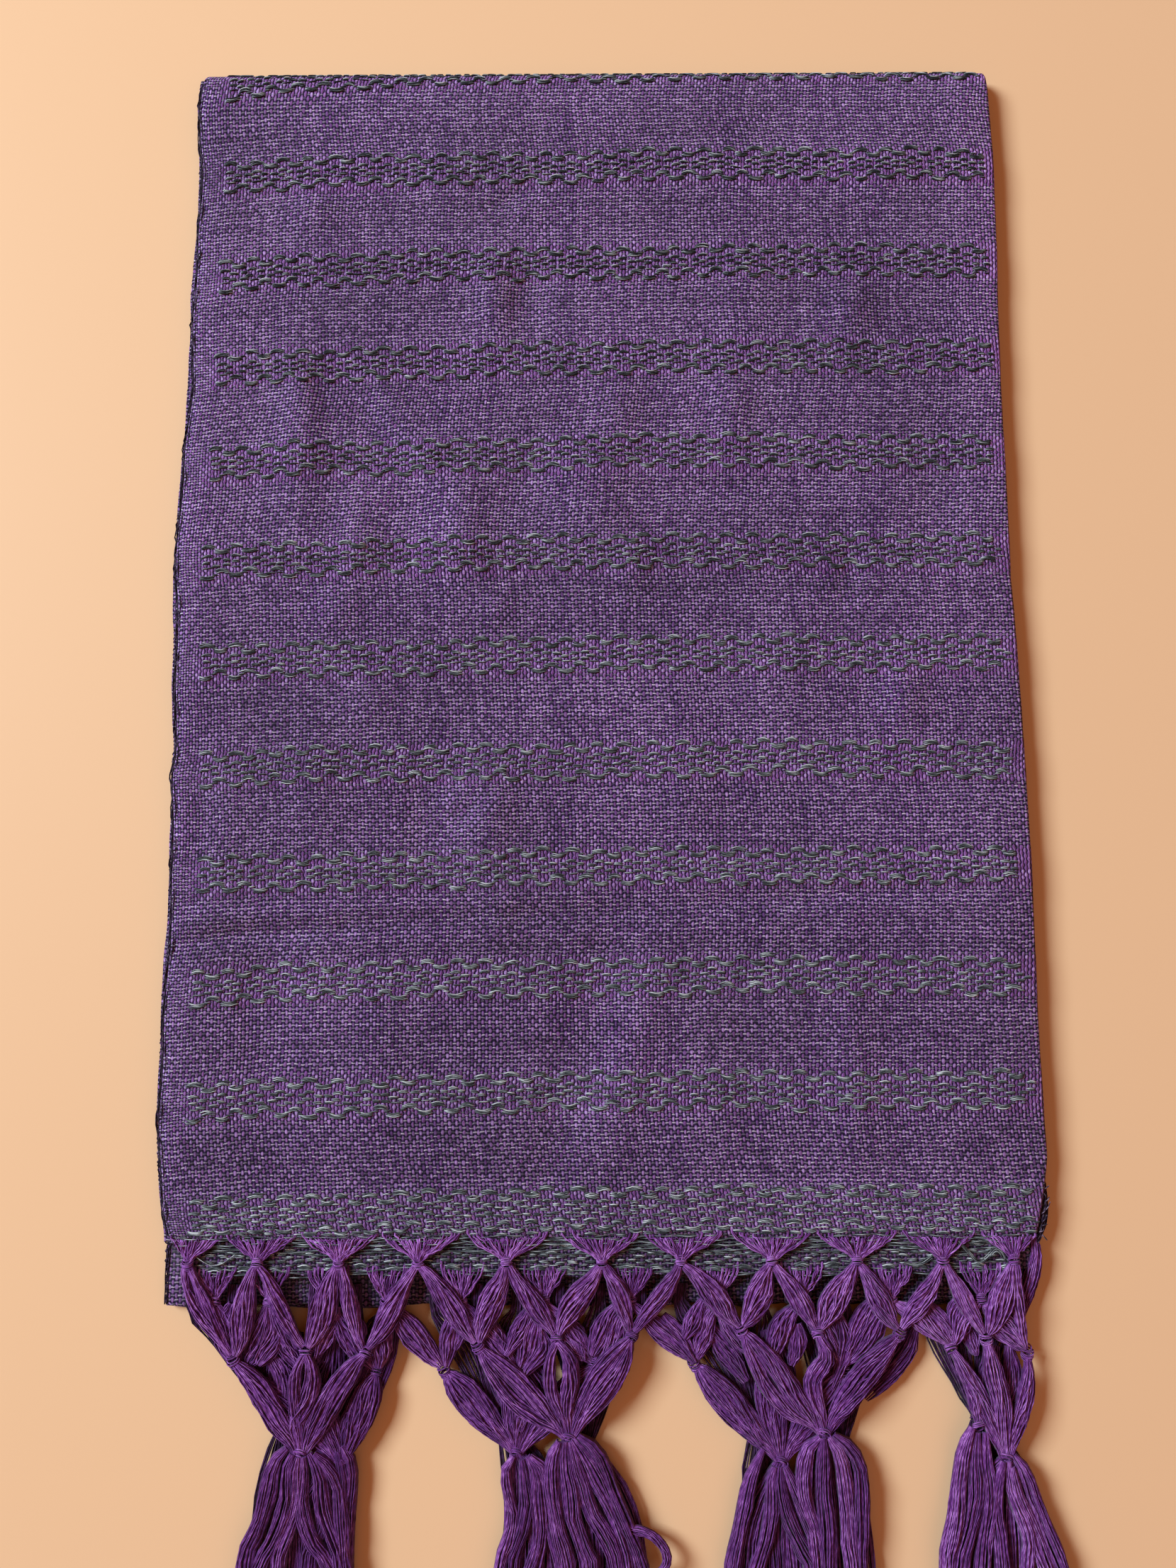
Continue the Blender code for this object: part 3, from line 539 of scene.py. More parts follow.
topCloth = {
    "wall": 0.9,
    "restZ": 8.5,
    "flatEndY": 235.5,
    "wrapReach": (5.0, 4.2),       # half axes of the fold over the top
    "wrapMiddleZ": 4.3,
    "wrapTo": -62.0,               # degrees
    "rollRadius": 1.45,
    "rollLip": 0.75,
    "columns": 118,
    "rows": 170,
    "bandRise": 0.3,
    "swellGain": 3.0,
    "creaseGain": 2.6,
    "swells": (                    # x, y, half size across and along, lean, height
        (-118, 176, 6, 6, 0, 0.6), (-42, 137, 5.5, 14, 0, 0.75), (-27, 137, 5.5, 12, 0, -0.45),
        (-121, 76, 7, 26, 0, 0.95), (-98, 92, 7, 18, -0.66, -0.5), (-79, 80, 6, 16, -0.66, 0.5),
        (-66, 70, 4.5, 4.5, 0, 0.45), (-54, 38, 8, 18, 0, 1.0), (-79, 34, 6, 11, 0, -0.5),
        (-98, 31, 5.5, 14, 0, 0.6), (0, 50, 11, 17, 0, 1.0), (-27, 62, 6, 9, 0, -0.4),
        (9, 88, 7, 10, 0, 0.7), (15, 20, 5, 8, 0, 0.5), (-105, 3, 5, 6, 0, 0.5), (-40, 3, 5, 6, 0, 0.45),
        (56, 88, 6, 14, 0, 0.65), (107, 130, 6, 10, 0, 0.7), (123, -33, 5.5, 9, 0, 0.7),
        (-92, -36, 7, 7, 0, 0.55), (-66, -80, 5.5, 13, 0, -0.55), (-42, -80, 6.5, 14, 0, 0.7),
        (-38, -119, 5, 6, 0, 0.5), (-128, -154, 7, 17, 0, -0.85), (-8, -176, 6.5, 30, 0.24, -0.6),
        (14, -170, 7, 30, 0.24, 0.5), (98, -178, 6.5, 28, 0, 0.55), (60, -176, 7, 22, 0, -0.35),
        (62, 150, 9, 18, 0, 0.4), (140, 60, 8, 22, 0, -0.4), (-85, -172, 8, 20, 0, 0.4),
        (74, -20, 10, 18, 0, 0.4), (-112, -70, 7, 14, 0, 0.45), (36, -70, 9, 14, 0, 0.4),
        (-60, 190, 9, 9, 0, 0.4), (122, 195, 9, 9, 0, 0.4),
    ),
    "creases": (                   # knots with their depth, half width
        (((-170, -131, 0.9), (-148, -128, 0.95), (-122, -126, 0.7), (-98, -124, 0.4)), 3.2),
        (((-98, -124, 0.35), (-33, -120, 0.45), (20, -117, 0.35), (72, -114, 0.4), (155, -109, 0.15)), 3.0),
        (((-46, 174, 0.0), (-34, 182, 0.5), (-20, 189, 0.0)), 3.4),
        (((-66, -91, 0.0), (-52, -79, 0.5), (-38, -67, 0.0)), 2.8),
        (((-158, -30, 0.0), (-156, -80, 0.4), (-160, -120, 0.2)), 5.0),
        (((-120, 112, 0.0), (-112, 96, 0.4), (-108, 74, 0.0)), 4.0),
        (((96, -8, 0.0), (104, 20, 0.35), (101, 52, 0.0)), 4.0),
        (((-150, 40, 0.0), (-70, 47, 0.18), (40, 52, 0.25), (150, 60, 0.0)), 3.4),
    ),
}


def creaseAt(x, y, knots, half):   # a trough along the knots, with a low ridge on either side
    nearest = np.full(np.shape(x), 1e9)
    signed = np.zeros(np.shape(x))
    depth = np.zeros(np.shape(x))
    for (ax, ay, aDepth), (bx, by, bDepth) in zip(knots, knots[1:]):
        run = np.hypot(bx - ax, by - ay)
        share = np.clip(((x - ax) * (bx - ax) + (y - ay) * (by - ay)) / run ** 2, 0, 1)
        away = np.hypot(x - ax - share * (bx - ax), y - ay - share * (by - ay))
        side = ((bx - ax) * (y - ay) - (by - ay) * (x - ax)) / run
        closer = away < nearest
        nearest = np.where(closer, away, nearest)
        signed = np.where(closer, np.sign(side) * away, signed)
        depth = np.where(closer, aDepth + share * (bDepth - aDepth), depth)
    trough = np.exp(-0.8 * (nearest / half) ** 2)
    ridge = np.exp(-((signed - 2.0 * half) / (1.6 * half)) ** 2)
    ridge = ridge + 0.5 * np.exp(-((signed + 2.2 * half) / (1.8 * half)) ** 2)
    return depth * (0.5 * ridge - trough)


def drapeHeight(x, y):   # flat at the borders
    fromLeft = smoothStep((x - leftEdge(y)) / 14.0)
    fromRight = smoothStep((rightEdge(y) - 1.5 - x) / 12.0)
    ends = smoothStep((y + 246.0) / 20.0) * smoothStep((236.0 - y) / 12.0)
    height = 0.35 + 0.22 * np.sin(x / 41 + 0.6) * np.sin(y / 53 + 1.1) + 0.12 * np.sin(x / 17 - y / 31)
    height = height + 0.1 * np.sin(x / 9.3 + y / 61) * np.sin(y / 12.7 - x / 47)
    for sx, sy, across, along, lean, rise in topCloth["swells"]:
        off = ((x - sx - lean * (y - sy)) / across) ** 2 + ((y - sy) / along) ** 2
        height = height + topCloth["swellGain"] * rise * np.exp(-0.5 * off)
    for knots, half in topCloth["creases"]:
        height = height + topCloth["creaseGain"] * creaseAt(x, y, knots, half)
    height = np.maximum(height, 0.2 * height - 0.6)
    return height * fromLeft * fromRight * ends


def makeWrapTable():   # the way along the top fold, and the angle that it has reached
    angles = np.radians(np.linspace(90.0, topCloth["wrapTo"], 60))
    reachY, reachZ = topCloth["wrapReach"]
    y = reachY * np.cos(angles)
    z = reachZ * np.sin(angles)
    arc = np.concatenate(([0], np.cumsum(np.hypot(np.diff(y), np.diff(z)))))
    return arc, angles


wrapArc, wrapAngles = makeWrapTable()


def foldSag(x):   # the band on the top fold hangs lower at the left
    return 1.8 * bandDrop(x)


def isOnBand(t, x):
    start = leftEdge(t) + shawl["bandInset"]
    rise = np.zeros(np.shape(t))
    for centre in shawl["bands"]:
        sag = foldSag(x) if centre > 238 else 0.0
        rise = np.maximum(rise, smoothStep((shawl["bandHalf"] + 0.8 - np.abs(t + sag - centre)) / 1.6))
    return rise * smoothStep((x - start) / 2.0 + 0.5)


def clothPoint(x, t, lift=0.0):
    # t runs up the cloth and on round the top fold; x is across
    x, t = np.broadcast_arrays(np.asarray(x, float), np.asarray(t, float))
    y = t - weftDrop(x, t)
    z = topCloth["restZ"] + drapeHeight(x, y)
    z = z + topCloth["bandRise"] * isOnBand(t, x) * smoothStep((236 - t) / 6)
    angle = np.interp(t - topCloth["flatEndY"], wrapArc, wrapAngles)
    reachY, reachZ = topCloth["wrapReach"]
    wrapped = t > topCloth["flatEndY"]
    y = np.where(wrapped, topCloth["flatEndY"] + (reachY + lift) * np.cos(angle), y)
    z = np.where(wrapped, topCloth["wrapMiddleZ"] + (reachZ + lift) * np.sin(angle), z + lift)
    return np.stack((x, y, z), -1)


def makeWeftCount():   # how many wefts lie below each place, closer together in the bands
    t = np.arange(-250.0, 262.0, 0.1)
    onBand = np.zeros(len(t))
    for centre in shawl["bands"]:
        onBand = np.maximum(onBand, smoothStep((shawl["bandHalf"] + 1.0 - np.abs(t - centre)) / 2.0))
    pitch = shawl["weftPitch"] + (shawl["bandWeftPitch"] - shawl["weftPitch"]) * onBand
    return t, np.cumsum(0.1 / pitch)


weftT, weftCounts = makeWeftCount()


def gridPiece(name, points, uv, band, material):
    rows, columns = points.shape[:2]
    corner = np.arange(rows * columns).reshape(rows, columns)
    faces = np.stack((corner[:-1, :-1], corner[:-1, 1:], corner[1:, 1:], corner[1:, :-1]), -1).reshape(-1, 4)
    return facePiece(name, points.reshape(-1, 3), faces, uv.reshape(-1, 2), band.ravel(), material)


def facePiece(name, points, faces, uv, band, material):
    mesh = bpy.data.meshes.new(name)
    mesh.from_pydata((points * mm).tolist(), [], [list(map(int, face)) for face in faces])
    layer = mesh.uv_layers.new(name="weave")
    loops = np.empty(len(mesh.loops), np.int32)
    mesh.loops.foreach_get("vertex_index", loops)
    layer.data.foreach_set("uv", uv[loops].ravel())
    mesh.attributes.new("band", "FLOAT", "POINT").data.foreach_set("value", band)
    mesh.materials.append(material)
    mesh.polygons.foreach_set("use_smooth", [True] * len(mesh.polygons))
    piece = bpy.data.objects.new(name, mesh)
    scene.collection.objects.link(piece)
    return piece


def topPeek(y):   # how far in from the border the top layer's selvedge lies
    inward = np.interp(y, (-241, -230, -205, -140), (3.4, 2.9, 2.5, 2.6))
    return inward + 0.35 * np.sin(y / 7.3) + 0.3 * np.sin(y / 17.0 + 2.0)


def makeTopCloth():
    flatT = np.linspace(shawl["upperEdgeY"], topCloth["flatEndY"], topCloth["rows"])
    wrapT = topCloth["flatEndY"] + np.linspace(0, wrapArc[-1], 15)[1:]
    t = np.concatenate((flatT, wrapT))
    y = np.minimum(t, 240.0)
    left = leftEdge(y) + topPeek(y)
    tuck = np.interp(y, (-241, -231, -222, -212), (3.2, 3.0, 1.3, 0.0))
    turnX = rightEdge(y) - topCloth["rollRadius"] - tuck + 0.3 * np.sin(y / 21.0) - 0.15
    share = np.linspace(0, 1, topCloth["columns"])
    x = left[:, None] + (turnX - left)[:, None] * share[None, :]
    ragged = ripple(x, 1, (0.5, 4.3, 0.7), (0.35, 2.9, 2.0), (0.4, 13.0, 0.0))
    alongT = t[:, None] + ragged * np.clip(1 - (t[:, None] + 241.0) / 5.0, 0, 1)
    points = clothPoint(x, alongT)
    spread = x - left[:, None]
    # the lengthwise fold rolls down on the right
    angle = np.interp(t - topCloth["flatEndY"], wrapArc, wrapAngles)
    wrapped = t > topCloth["flatEndY"]
    upright = np.stack((np.zeros(len(t)), np.where(wrapped, np.cos(angle), 0.0),
                        np.where(wrapped, np.sin(angle), 1.0)), 1)
    radius = topCloth["rollRadius"]
    rolls = []
    rollSpread = []
    for bend in np.radians((18, 36, 54, 72, 90)):
        out = np.array((radius * sin(bend), 0, 0))
        rolls.append(points[:, -1] + out - upright * radius * (1 - cos(bend)))
        rollSpread.append(spread[:, -1] + radius * bend)
    rolls.append(rolls[-1] - upright * topCloth["rollLip"])
    rollSpread.append(rollSpread[-1] + topCloth["rollLip"])
    points = np.concatenate((points, np.stack(rolls, 1)), 1)
    spread = np.concatenate((spread, np.stack(rollSpread, 1)), 1)
    down = np.interp(t, weftT, weftCounts)
    crowded = spread + 3.0 * (1 - np.exp(-spread / 9.0))       # warps lie closer beside the selvedge
    uv = np.stack((crowded / shawl["warpPitch"], np.broadcast_to(down[:, None], spread.shape)), -1)
    band = isOnBand(np.broadcast_to(t[:, None], spread.shape), points[:, :, 0])
    piece = gridPiece("clothTop", points, uv, band, wovenCloth)
    wall = piece.modifiers.new("wall", "SOLIDIFY")
    wall.thickness = topCloth["wall"] * mm
    wall.offset = -1.0
    return piece


clothTop = makeTopCloth()
print("top layer ready")

underCloth = {
    "layers": (                    # bottom, top, pulled in at the left and right, end
        (0.0, 1.0, 0.6, 0.4, -267.0), (1.0, 2.0, 1.6, 0.4, -267.0), (2.0, 3.0, 0.2, 1.5, -267.0),
        (3.0, 3.9, 1.2, 1.5, -267.0), (3.9, 4.9, 0.4, 0.3, -253.6), (4.9, 5.9, 1.3, 0.3, -253.6),
        (5.9, 6.9, 0.0, 3.2, -255.0),
    ),
    "pairs": ((0.0, 2.0), (2.0, 3.9), (3.9, 5.9), (5.9, 6.9)),   # two layers and the fold between them
    "levels": (0.02, 0.14, 0.34, 0.66, 0.86, 0.98),
    "sideSteps": 140,
    "endSteps": 80,
}


def sideWave(y, phase):
    return ripple(y, phase, (0.4, 23, 3), (0.3, 8.1, 5))


def cornerFlare(y):
    return 1.2 * smoothStep((-236.0 - y) / 14.0)


def underRing(z, leftIn, rightIn, endY, roundLeft, roundRight, phase):   # outline at one height
    away = abs(z - 4.3) / 2.85
    topY = shawl["edgeY"][-1] - 5.4 + 3.2 * max(1 - away * away, 0.09) ** 0.5
    endX = np.linspace(0, 1, underCloth["endSteps"])
    higher = 12.4 if endY > shawl["foldEdgeY"] + 5 else 0.0
    y = np.linspace(endY, topY, underCloth["sideSteps"])
    leftY = np.linspace(endY + higher, topY, underCloth["sideSteps"])
    corner = 3.4 * np.clip((y - 231) / (topY - 231), 0, 1)
    wave = sideWave(y, phase) + 0.15 * np.sin(y / 3.7 + phase)
    flare = cornerFlare(y) * (endY == shawl["foldEdgeY"])
    left = leftEdge(leftY) + leftIn - flare + roundLeft + wave * 0.8 + 0.3
    tucked = 5.0 * smoothStep((-240.0 - y) / 9.0)
    right = rightEdge(y) - rightIn - roundRight - corner - tucked + 0.25 * np.sin(y / 19 + phase * 2)
    rightSide = np.stack((right, y), 1)
    topSide = np.stack((right[-1] + (left[-1] - right[-1]) * endX[1:-1], np.full(len(endX) - 2, topY)), 1)
    leftSide = np.stack((left, leftY), 1)[::-1]
    alongEnd = left[0] + (right[0] - left[0]) * endX
    uneven = 0.3 if endY == shawl["foldEdgeY"] else 0.9
    endWave = uneven * (np.sin(endX * 61 + phase) + 0.6 * np.sin(endX * 23 + phase * 2))
    endWave = endWave + higher * smoothStep((-152.0 - alongEnd) / 8.0)
    endSide = np.stack((alongEnd, endY + endWave), 1)[1:-1]
    outline = np.concatenate((rightSide, topSide, leftSide, endSide))
    return np.column_stack((outline, np.full(len(outline), z)))


def bulge(z, low, high):   # a layer's edge is round
    half = (high - low) / 2
    return half * (1 - max(1 - ((z - low - half) / half) ** 2, 0.0) ** 0.5)


def makeUnderCloth():
    rings = []
    for number, (low, high, leftIn, rightIn, endY) in enumerate(underCloth["layers"]):
        pairLow, pairHigh = underCloth["pairs"][number // 2]
        for share in underCloth["levels"]:
            z = low + (high - low) * share
            nose = bulge(z, 0.0, 3.9) if endY == shawl["foldEdgeY"] else bulge(z, low, high)
            rings.append(underRing(z, leftIn, rightIn, endY + min(nose, 1.6), bulge(z, low, high),
                                   bulge(z, pairLow, pairHigh), number))
    rings = np.array(rings)
    rings[0, :, 2] = 0.0
    levels, around = rings.shape[:2]
    corner = np.arange(levels * around).reshape(levels, around)
    nextCorner = np.roll(corner, -1, 1)
    faces = np.stack((corner[:-1], nextCorner[:-1], nextCorner[1:], corner[1:]), -1).reshape(-1, 4)
    faces = [list(face) for face in faces] + [list(corner[0][::-1]), list(corner[-1])]
    points = rings.reshape(-1, 3)
    uv = np.stack(((points[:, 0] + points[:, 2] + 175) / shawl["warpPitch"],
                   (points[:, 1] + points[:, 2] + 270) / shawl["weftPitch"]), 1)
    band = np.zeros(len(points))
    return facePiece("clothUnder", points, faces, uv, band, wovenClothUnder)


clothUnder = makeUnderCloth()
print("under layers ready")

brocade = {
    "repeat": 8,                   # warps in one repeat
    "rows": (        # above the band's middle, warps from the peak, length, bend, tone, strands
        (6.8, (0,), 7.2, 0.34, 0.5, 3), (5.5, (-2.8, 2.8), 2.8, 0.0, 0.3, 1), (4.5, (4,), 7.2, -0.3, 0.5, 3),
        (2.6, (0,), 5.0, 0.22, 0.45, 2), (1.3, (-2.4, 2.5), 4.2, 0.1, 0.42, 2),
        (0.0, (-0.2,), 4.2, 0.1, 0.5, 2), (-1.3, (-2.4, 2.4), 4.2, 0.1, 0.42, 2),
        (-2.3, (0.2,), 4.4, 0.0, 0.4, 1), (-3.7, (4,), 7.2, 0.36, 0.5, 3),
        (-5.0, (-2.4, 2.4), 3.0, 0.0, 0.3, 1), (-6.2, (0,), 7.2, -0.3, 0.5, 3),
    ),
    "moreRows": (                  # between the others in the last band
        (6.0, (4,), 3.8, 0.2, 0.5, 1), (3.6, (-2, 2), 3.4, 0.1, 0.45, 1), (1.95, (0,), 3.6, 0.1, 0.5, 1),
        (0.6, (4,), 4.0, 0.1, 0.5, 1), (-0.7, (0.2,), 3.8, 0.0, 0.45, 1), (-2.9, (0,), 3.8, 0.1, 0.5, 1),
        (-4.4, (0,), 3.8, 0.1, 0.45, 1), (-5.6, (4,), 4.2, 0.1, 0.5, 1), (-7.3, (4,), 5.4, 0.1, 0.4, 2),
    ),
    "radius": 0.35,
    "steps": 6,
    "apart": 0.6,
    # strands side by side: partly the yarn's light and dark plies, partly painted light, the upper strand lit
    # and the lower ones in shade
    "shades": {1: (0.0,), 2: (0.26, -0.3), 3: (0.34, -0.1, -0.36)},
}


def addFloat(yarns, x, t, length, bend, tone, surface):
    rng = yarns.rng
    share = np.linspace(0, 1, brocade["steps"] if length > 4 else 5)
    fromEnd = np.minimum(share, 1 - share)
    bell = 0.5 - 0.5 * np.cos(2 * pi * share)
    floatX = x + (share - 0.5) * length
    floatT = t + bend * (bell - 0.5) * 2.0 + (share - 0.5) * rng.normal(0, 0.2)
    sink = 0.9 * smoothStep(fromEnd * 4.4) - 0.5
    thick = brocade["radius"] * rng.uniform(0.85, 1.15) * (0.6 + 0.4 * np.minimum(fromEnd * 5, 1.0))
    yarns.add(surface(floatX, floatT, sink), thick, randomShade(rng, tone, 0.19))


def addFloats(yarns, x, t, length, bend, tone, strands, surface):   # strands lie side by side
    rng = yarns.rng
    length = length * rng.uniform(0.85, 1.12)
    shades = brocade["shades"][strands]
    if strands == 3 and rng.random() < 0.4:
        shades = rng.permutation(shades)
    for strand, shade in enumerate(shades):
        across = t + ((strands - 1) / 2 - strand) * brocade["apart"]
        strandX = x + rng.normal(0, 0.25)
        addFloat(yarns, strandX, across, length * rng.uniform(0.93, 1.0), bend, tone + shade, surface)


# the repeat of a band, again and again from left to right
def floatsInBand(yarns, centre, surface, xFrom, xTo, tRange=(-300.0, 300.0), stretch=1.0, rows="rows"):
    rng = yarns.rng
    pitch = shawl["warpPitch"]
    width = brocade["repeat"] * pitch
    shift = rng.uniform(-0.3, 0.3)
    waves = rng.uniform(0, 6.3, 4)
    for number in range(int((xTo - xFrom) / width) + 2):
        peak = xFrom + 3.0 + shift + number * width + rng.normal(0, 0.25)
        for above, warp, length, bend, tone, strands in repeatRows(rows):
            x = peak + warp * pitch + rng.normal(0, 0.18)
            if x - length / 2 < xFrom - 1.5 or x + length / 2 > xTo:
                continue
            t = centre + above * stretch + rng.normal(0, 0.16)
            t += 0.4 * sin(x / 9.5 + waves[0]) + 0.35 * sin(x / 27.0 + waves[1])
            t += 0.25 * sin(x / 6.1 + waves[2]) * above / 6.0
            if tRange[0] < t < tRange[1]:
                addFloats(yarns, x, t, length, bend, tone, strands, surface)


def repeatRows(rows):
    for above, warps, *others in brocade[rows]:
        for warp in warps:
            yield above, warp, *others


def foldPoint(x, t, lift):
    return clothPoint(x, t - foldSag(x), lift)


def makeFloats(name, bands, seed):
    yarns = yarnSet(seed)
    for centre in bands:
        y = min(centre, 238.0)
        surface = clothPoint if centre < 238 else foldPoint
        last = centre == shawl["bands"][-1]
        xTo = rightEdge(y) - 2.2 - 2.0 * last
        for rows in ("rows", "moreRows")[:1 + last]:
            floatsInBand(yarns, centre - 0.8 * last, surface, leftEdge(y) + 12.0, xTo,
                         stretch=1.13 if last else 1.0, rows=rows)
    return yarns.sweep(name, brocadeWeft)


floatsUpper = makeFloats("brocadeUpper", shawl["bands"][:6], 11)
floatsLower = makeFloats("brocadeLower", shawl["bands"][6:], 12)

edgeLook = {                       # sway is sideways and rise is upwards, both waves as for ripple
    "topEnd": {
        "places": np.arange(-246.8, -239.6, 1.15), "inward": (7.0, 5.0), "step": 2.4, "radius": 0.3,
        "z": 7.73, "slope": 0.1, "tones": (0.05, 0.4, 0.2), "vary": 0.06,
        "sway": ((0.5, 13.0, 1.3), (0.35, 5.1, 2.7)), "rise": ((0.28, 3.1, pi),),
    },
    "fanFoot": {
        "places": (-243.3, -242.1, -240.9), "inward": (5.0, 6.0), "step": 1.3, "radius": 0.26,
        "z": 8.9, "slope": 0.0, "tones": (0.62, 0.3, 0.5), "vary": 0.06,
        "sway": ((0.45, 11.0, 2.3), (0.25, 4.3, 1.7)), "rise": ((0.55, 1.5, 2.1), (0.3, 5.7, 1.0)),
    },
    "nextEnd": {
        "places": (-252.9, -253.9, -255.0), "inward": (14.0, 9.0), "step": 2.2, "radius": 0.28,
        "z": 7.1, "slope": 0.0, "tones": (0.35, 0.15, 0.3), "vary": 0.0,
        "sway": ((0.5, 6.3, 1.9), (0.4, 15.0, 0.0)), "rise": ((0.3, 2.3, 2.0), (0.2, 7.0, 1.0)),
    },
    "nextBand": -248.6,
    "nextBandEnds": (-253.2, -243.0),       # floats lie between these
    "nextZ": 6.95,
    "looseEnds": (                 # points, height, strands, tone
        (((-152.5, -247.6), (-148.8, -250.1), (-146.2, -250.9), (-142.5, -250.0), (-137.9, -247.0)),
         8.3, 1, 0.95),
        (((135.8, -242.8), (137.9, -244.9), (139.8, -247.1), (141.7, -249.3), (143.6, -250.2),
          (145.4, -249.4), (147.6, -247.4), (149.6, -245.8), (151.4, -246.4), (153.0, -249.0)), 9.6, 3, 0.3),
        (((115.4, -251.0), (119.0, -251.6), (122.4, -250.8), (126.0, -248.8)), 8.0, 3, 0.25),
    ),
}


def nextLayerPoint(x, t, lift=0.0):
    x, t = np.broadcast_arrays(np.asarray(x, float), np.asarray(t, float))
    return np.stack((x, t, np.full(x.shape, edgeLook["nextZ"]) + lift), -1)


def addEdgeRows(yarns, rows):
    left, right = rows["inward"]
    for number, y in enumerate(rows["places"]):
        x = np.arange(leftEdge(y) + left, rightEdge(y) - right, rows["step"])
        z = rows["z"] + rows["slope"] * (y - rows["places"][0])
        path = np.stack((x, y + ripple(x, number, *rows["sway"]), z + ripple(x, number, *rows["rise"])), 1)
        shade = rows["tones"][number % len(rows["tones"])]
        if rows["vary"]:
            shade += yarns.rng.normal(0, rows["vary"])
        yarns.add(path, rows["radius"], shade)


def makeEdgeWefts():
    # the last wefts of the top layer, loose between the fans, and the band that starts the next layer
    yarns = yarnSet(31)
    addEdgeRows(yarns, edgeLook["topEnd"])
    addEdgeRows(yarns, edgeLook["fanFoot"])
    floatsInBand(yarns, edgeLook["nextBand"], nextLayerPoint, leftEdge(-248) + 12.0, rightEdge(-248) - 8.0,
                 edgeLook["nextBandEnds"])
    addEdgeRows(yarns, edgeLook["nextEnd"])
    for points, z, strands, tone in edgeLook["looseEnds"]:
        line = smoothPath([(*point, z) for point in points], 22)
        heading = np.gradient(line[:, :2], axis=0)
        side = np.stack((-heading[:, 1], heading[:, 0]), 1) / np.linalg.norm(heading, axis=1)[:, None]
        for strand in range(strands):
            off = 0.5 * (strand - (strands - 1) / 2) + 0.12 * np.sin(np.linspace(0, 6, 22) + strand * 2.0)
            shift = np.column_stack((side * off[:, None], 0.2 * np.cos(np.linspace(0, 8, 22) + strand)))
            # the middle strand is painted lighter, as a highlight
            yarns.add(line + shift, 0.24, tone + 0.35 * (strand == 1) + yarns.rng.normal(0, 0.06))
    return yarns.sweep("edgeWefts", brocadeWeft)


edgeWefts = makeEdgeWefts()

selvedge = {
    "pitch": (3.6, 1.7),           # apart along the lower layers and the upper ones
    "reach": 1.5,
    "radius": 0.4,
    "cords": ((-0.6, 8.45), (0.0, 8.2), (0.5, 7.8), (1.0, 7.3), (1.5, 7.0)),   # outward, height
    "cornerCords": (1.7, 2.2, 2.7),
}


def makeSelvedges():
    yarns = yarnSet(5)
    rng = yarns.rng
    for phase, (low, high, leftIn, _, endY) in enumerate(underCloth["layers"]):
        atFold = endY == shawl["foldEdgeY"]
        for y in np.arange(endY + (2.0 if atFold else 13.0), 236.0, selvedge["pitch"][int(low > 2.9)]):
            y = y + rng.normal(0, 0.3)
            x = leftEdge(y) + leftIn - cornerFlare(y) * atFold + sideWave(y, phase) * 0.8 + 0.3
            addLoop(yarns, x, y, (low + high) / 2)
    for y in np.arange(shawl["upperEdgeY"] + 1.0, 237.0, selvedge["pitch"][1]):
        x = leftEdge(y) + topPeek(y)
        addLoop(yarns, x, y - weftDrop(x, y), 8.15)
    y = np.arange(-240.0, 236.0, 1.9)
    for out, z in selvedge["cords"]:       # dark under the top layer's edge
        x = leftEdge(y) + topPeek(y) - out + 0.25 * np.sin(y / 2.7 + out * 5) + rng.normal(0, 0.17, len(y))
        z = z + 0.2 * np.sin(y / 3.1 + out) + rng.normal(0, 0.1, len(y))
        path = np.stack((x, y - weftDrop(x, y), z), 1)
        for first in range(0, len(y) - 2, 7):
            part = path[first:first + 8]
            yarns.add(part, rng.uniform(0.2, 0.46, len(part)), randomShade(rng, 0.2, 0.16))
    y = np.arange(-266.0, -242.0, 1.6)
    for inward in selvedge["cornerCords"]:
        x = leftEdge(y) + inward - cornerFlare(y) + rng.normal(0, 0.14, len(y))
        yarns.add(np.stack((x, y, rng.normal(4.0, 0.1, len(y))), 1), rng.uniform(0.22, 0.4, len(y)), 0.2)
    down = np.linspace(0, 1, 14)
    for strand in range(11):       # the next layer's edge, rolled and dark near its end
        y = -220.0 - 23.0 * down + rng.uniform(-1.2, 1.2)
        inward = 0.5 + 3.0 * (strand / 10) + 0.3 * np.sin(down * 8 + strand * 1.7) + 1.6 * (2 * down - 1) ** 6
        z = 7.3 - 1.1 * abs(strand / 5 - 1) + 0.2 * np.sin(down * 11 + strand) - 2.0 * (1 - down) ** 4
        path = np.stack((rightEdge(y) + 0.6 - inward, y, z), 1)
        yarns.add(path, rng.uniform(0.28, 0.5, 14), randomShade(rng, 0.3, 0.2))
    for y in np.arange(-242.0, -222.0, 2.3):
        across = rng.uniform(0.4, 2.6)
        slant = rng.uniform(-1.6, 1.6)
        path = [(-across - 0.9, -slant, 7.6), (-across, 0.0, 8.0), (-across + 0.9, slant, 7.5)]
        path = [(rightEdge(y) + 0.4 + a, y + b, c) for a, b, c in path]
        yarns.add(path, 0.26, randomShade(rng, 0.6, 0.25))
    return yarns.sweep("selvedgeLoops", selvedgeYarn)


def addLoop(yarns, x, y, z):
    rng = yarns.rng
    reach = selvedge["reach"]
    out = rng.uniform(-0.4, 0.1)
    path = [(x + reach, y + 0.8, z + 0.3), (x + 0.5, y + 0.6, z + 0.42), (x + 0.15 - out, y, z + 0.05),
            (x + 0.5, y - 0.6, z - 0.3), (x + reach, y - 0.9, z - 0.4)]
    yarns.add(path, selvedge["radius"] * rng.uniform(0.85, 1.15), randomShade(rng, 0.5, 0.26))


selvedgeLoops = makeSelvedges()

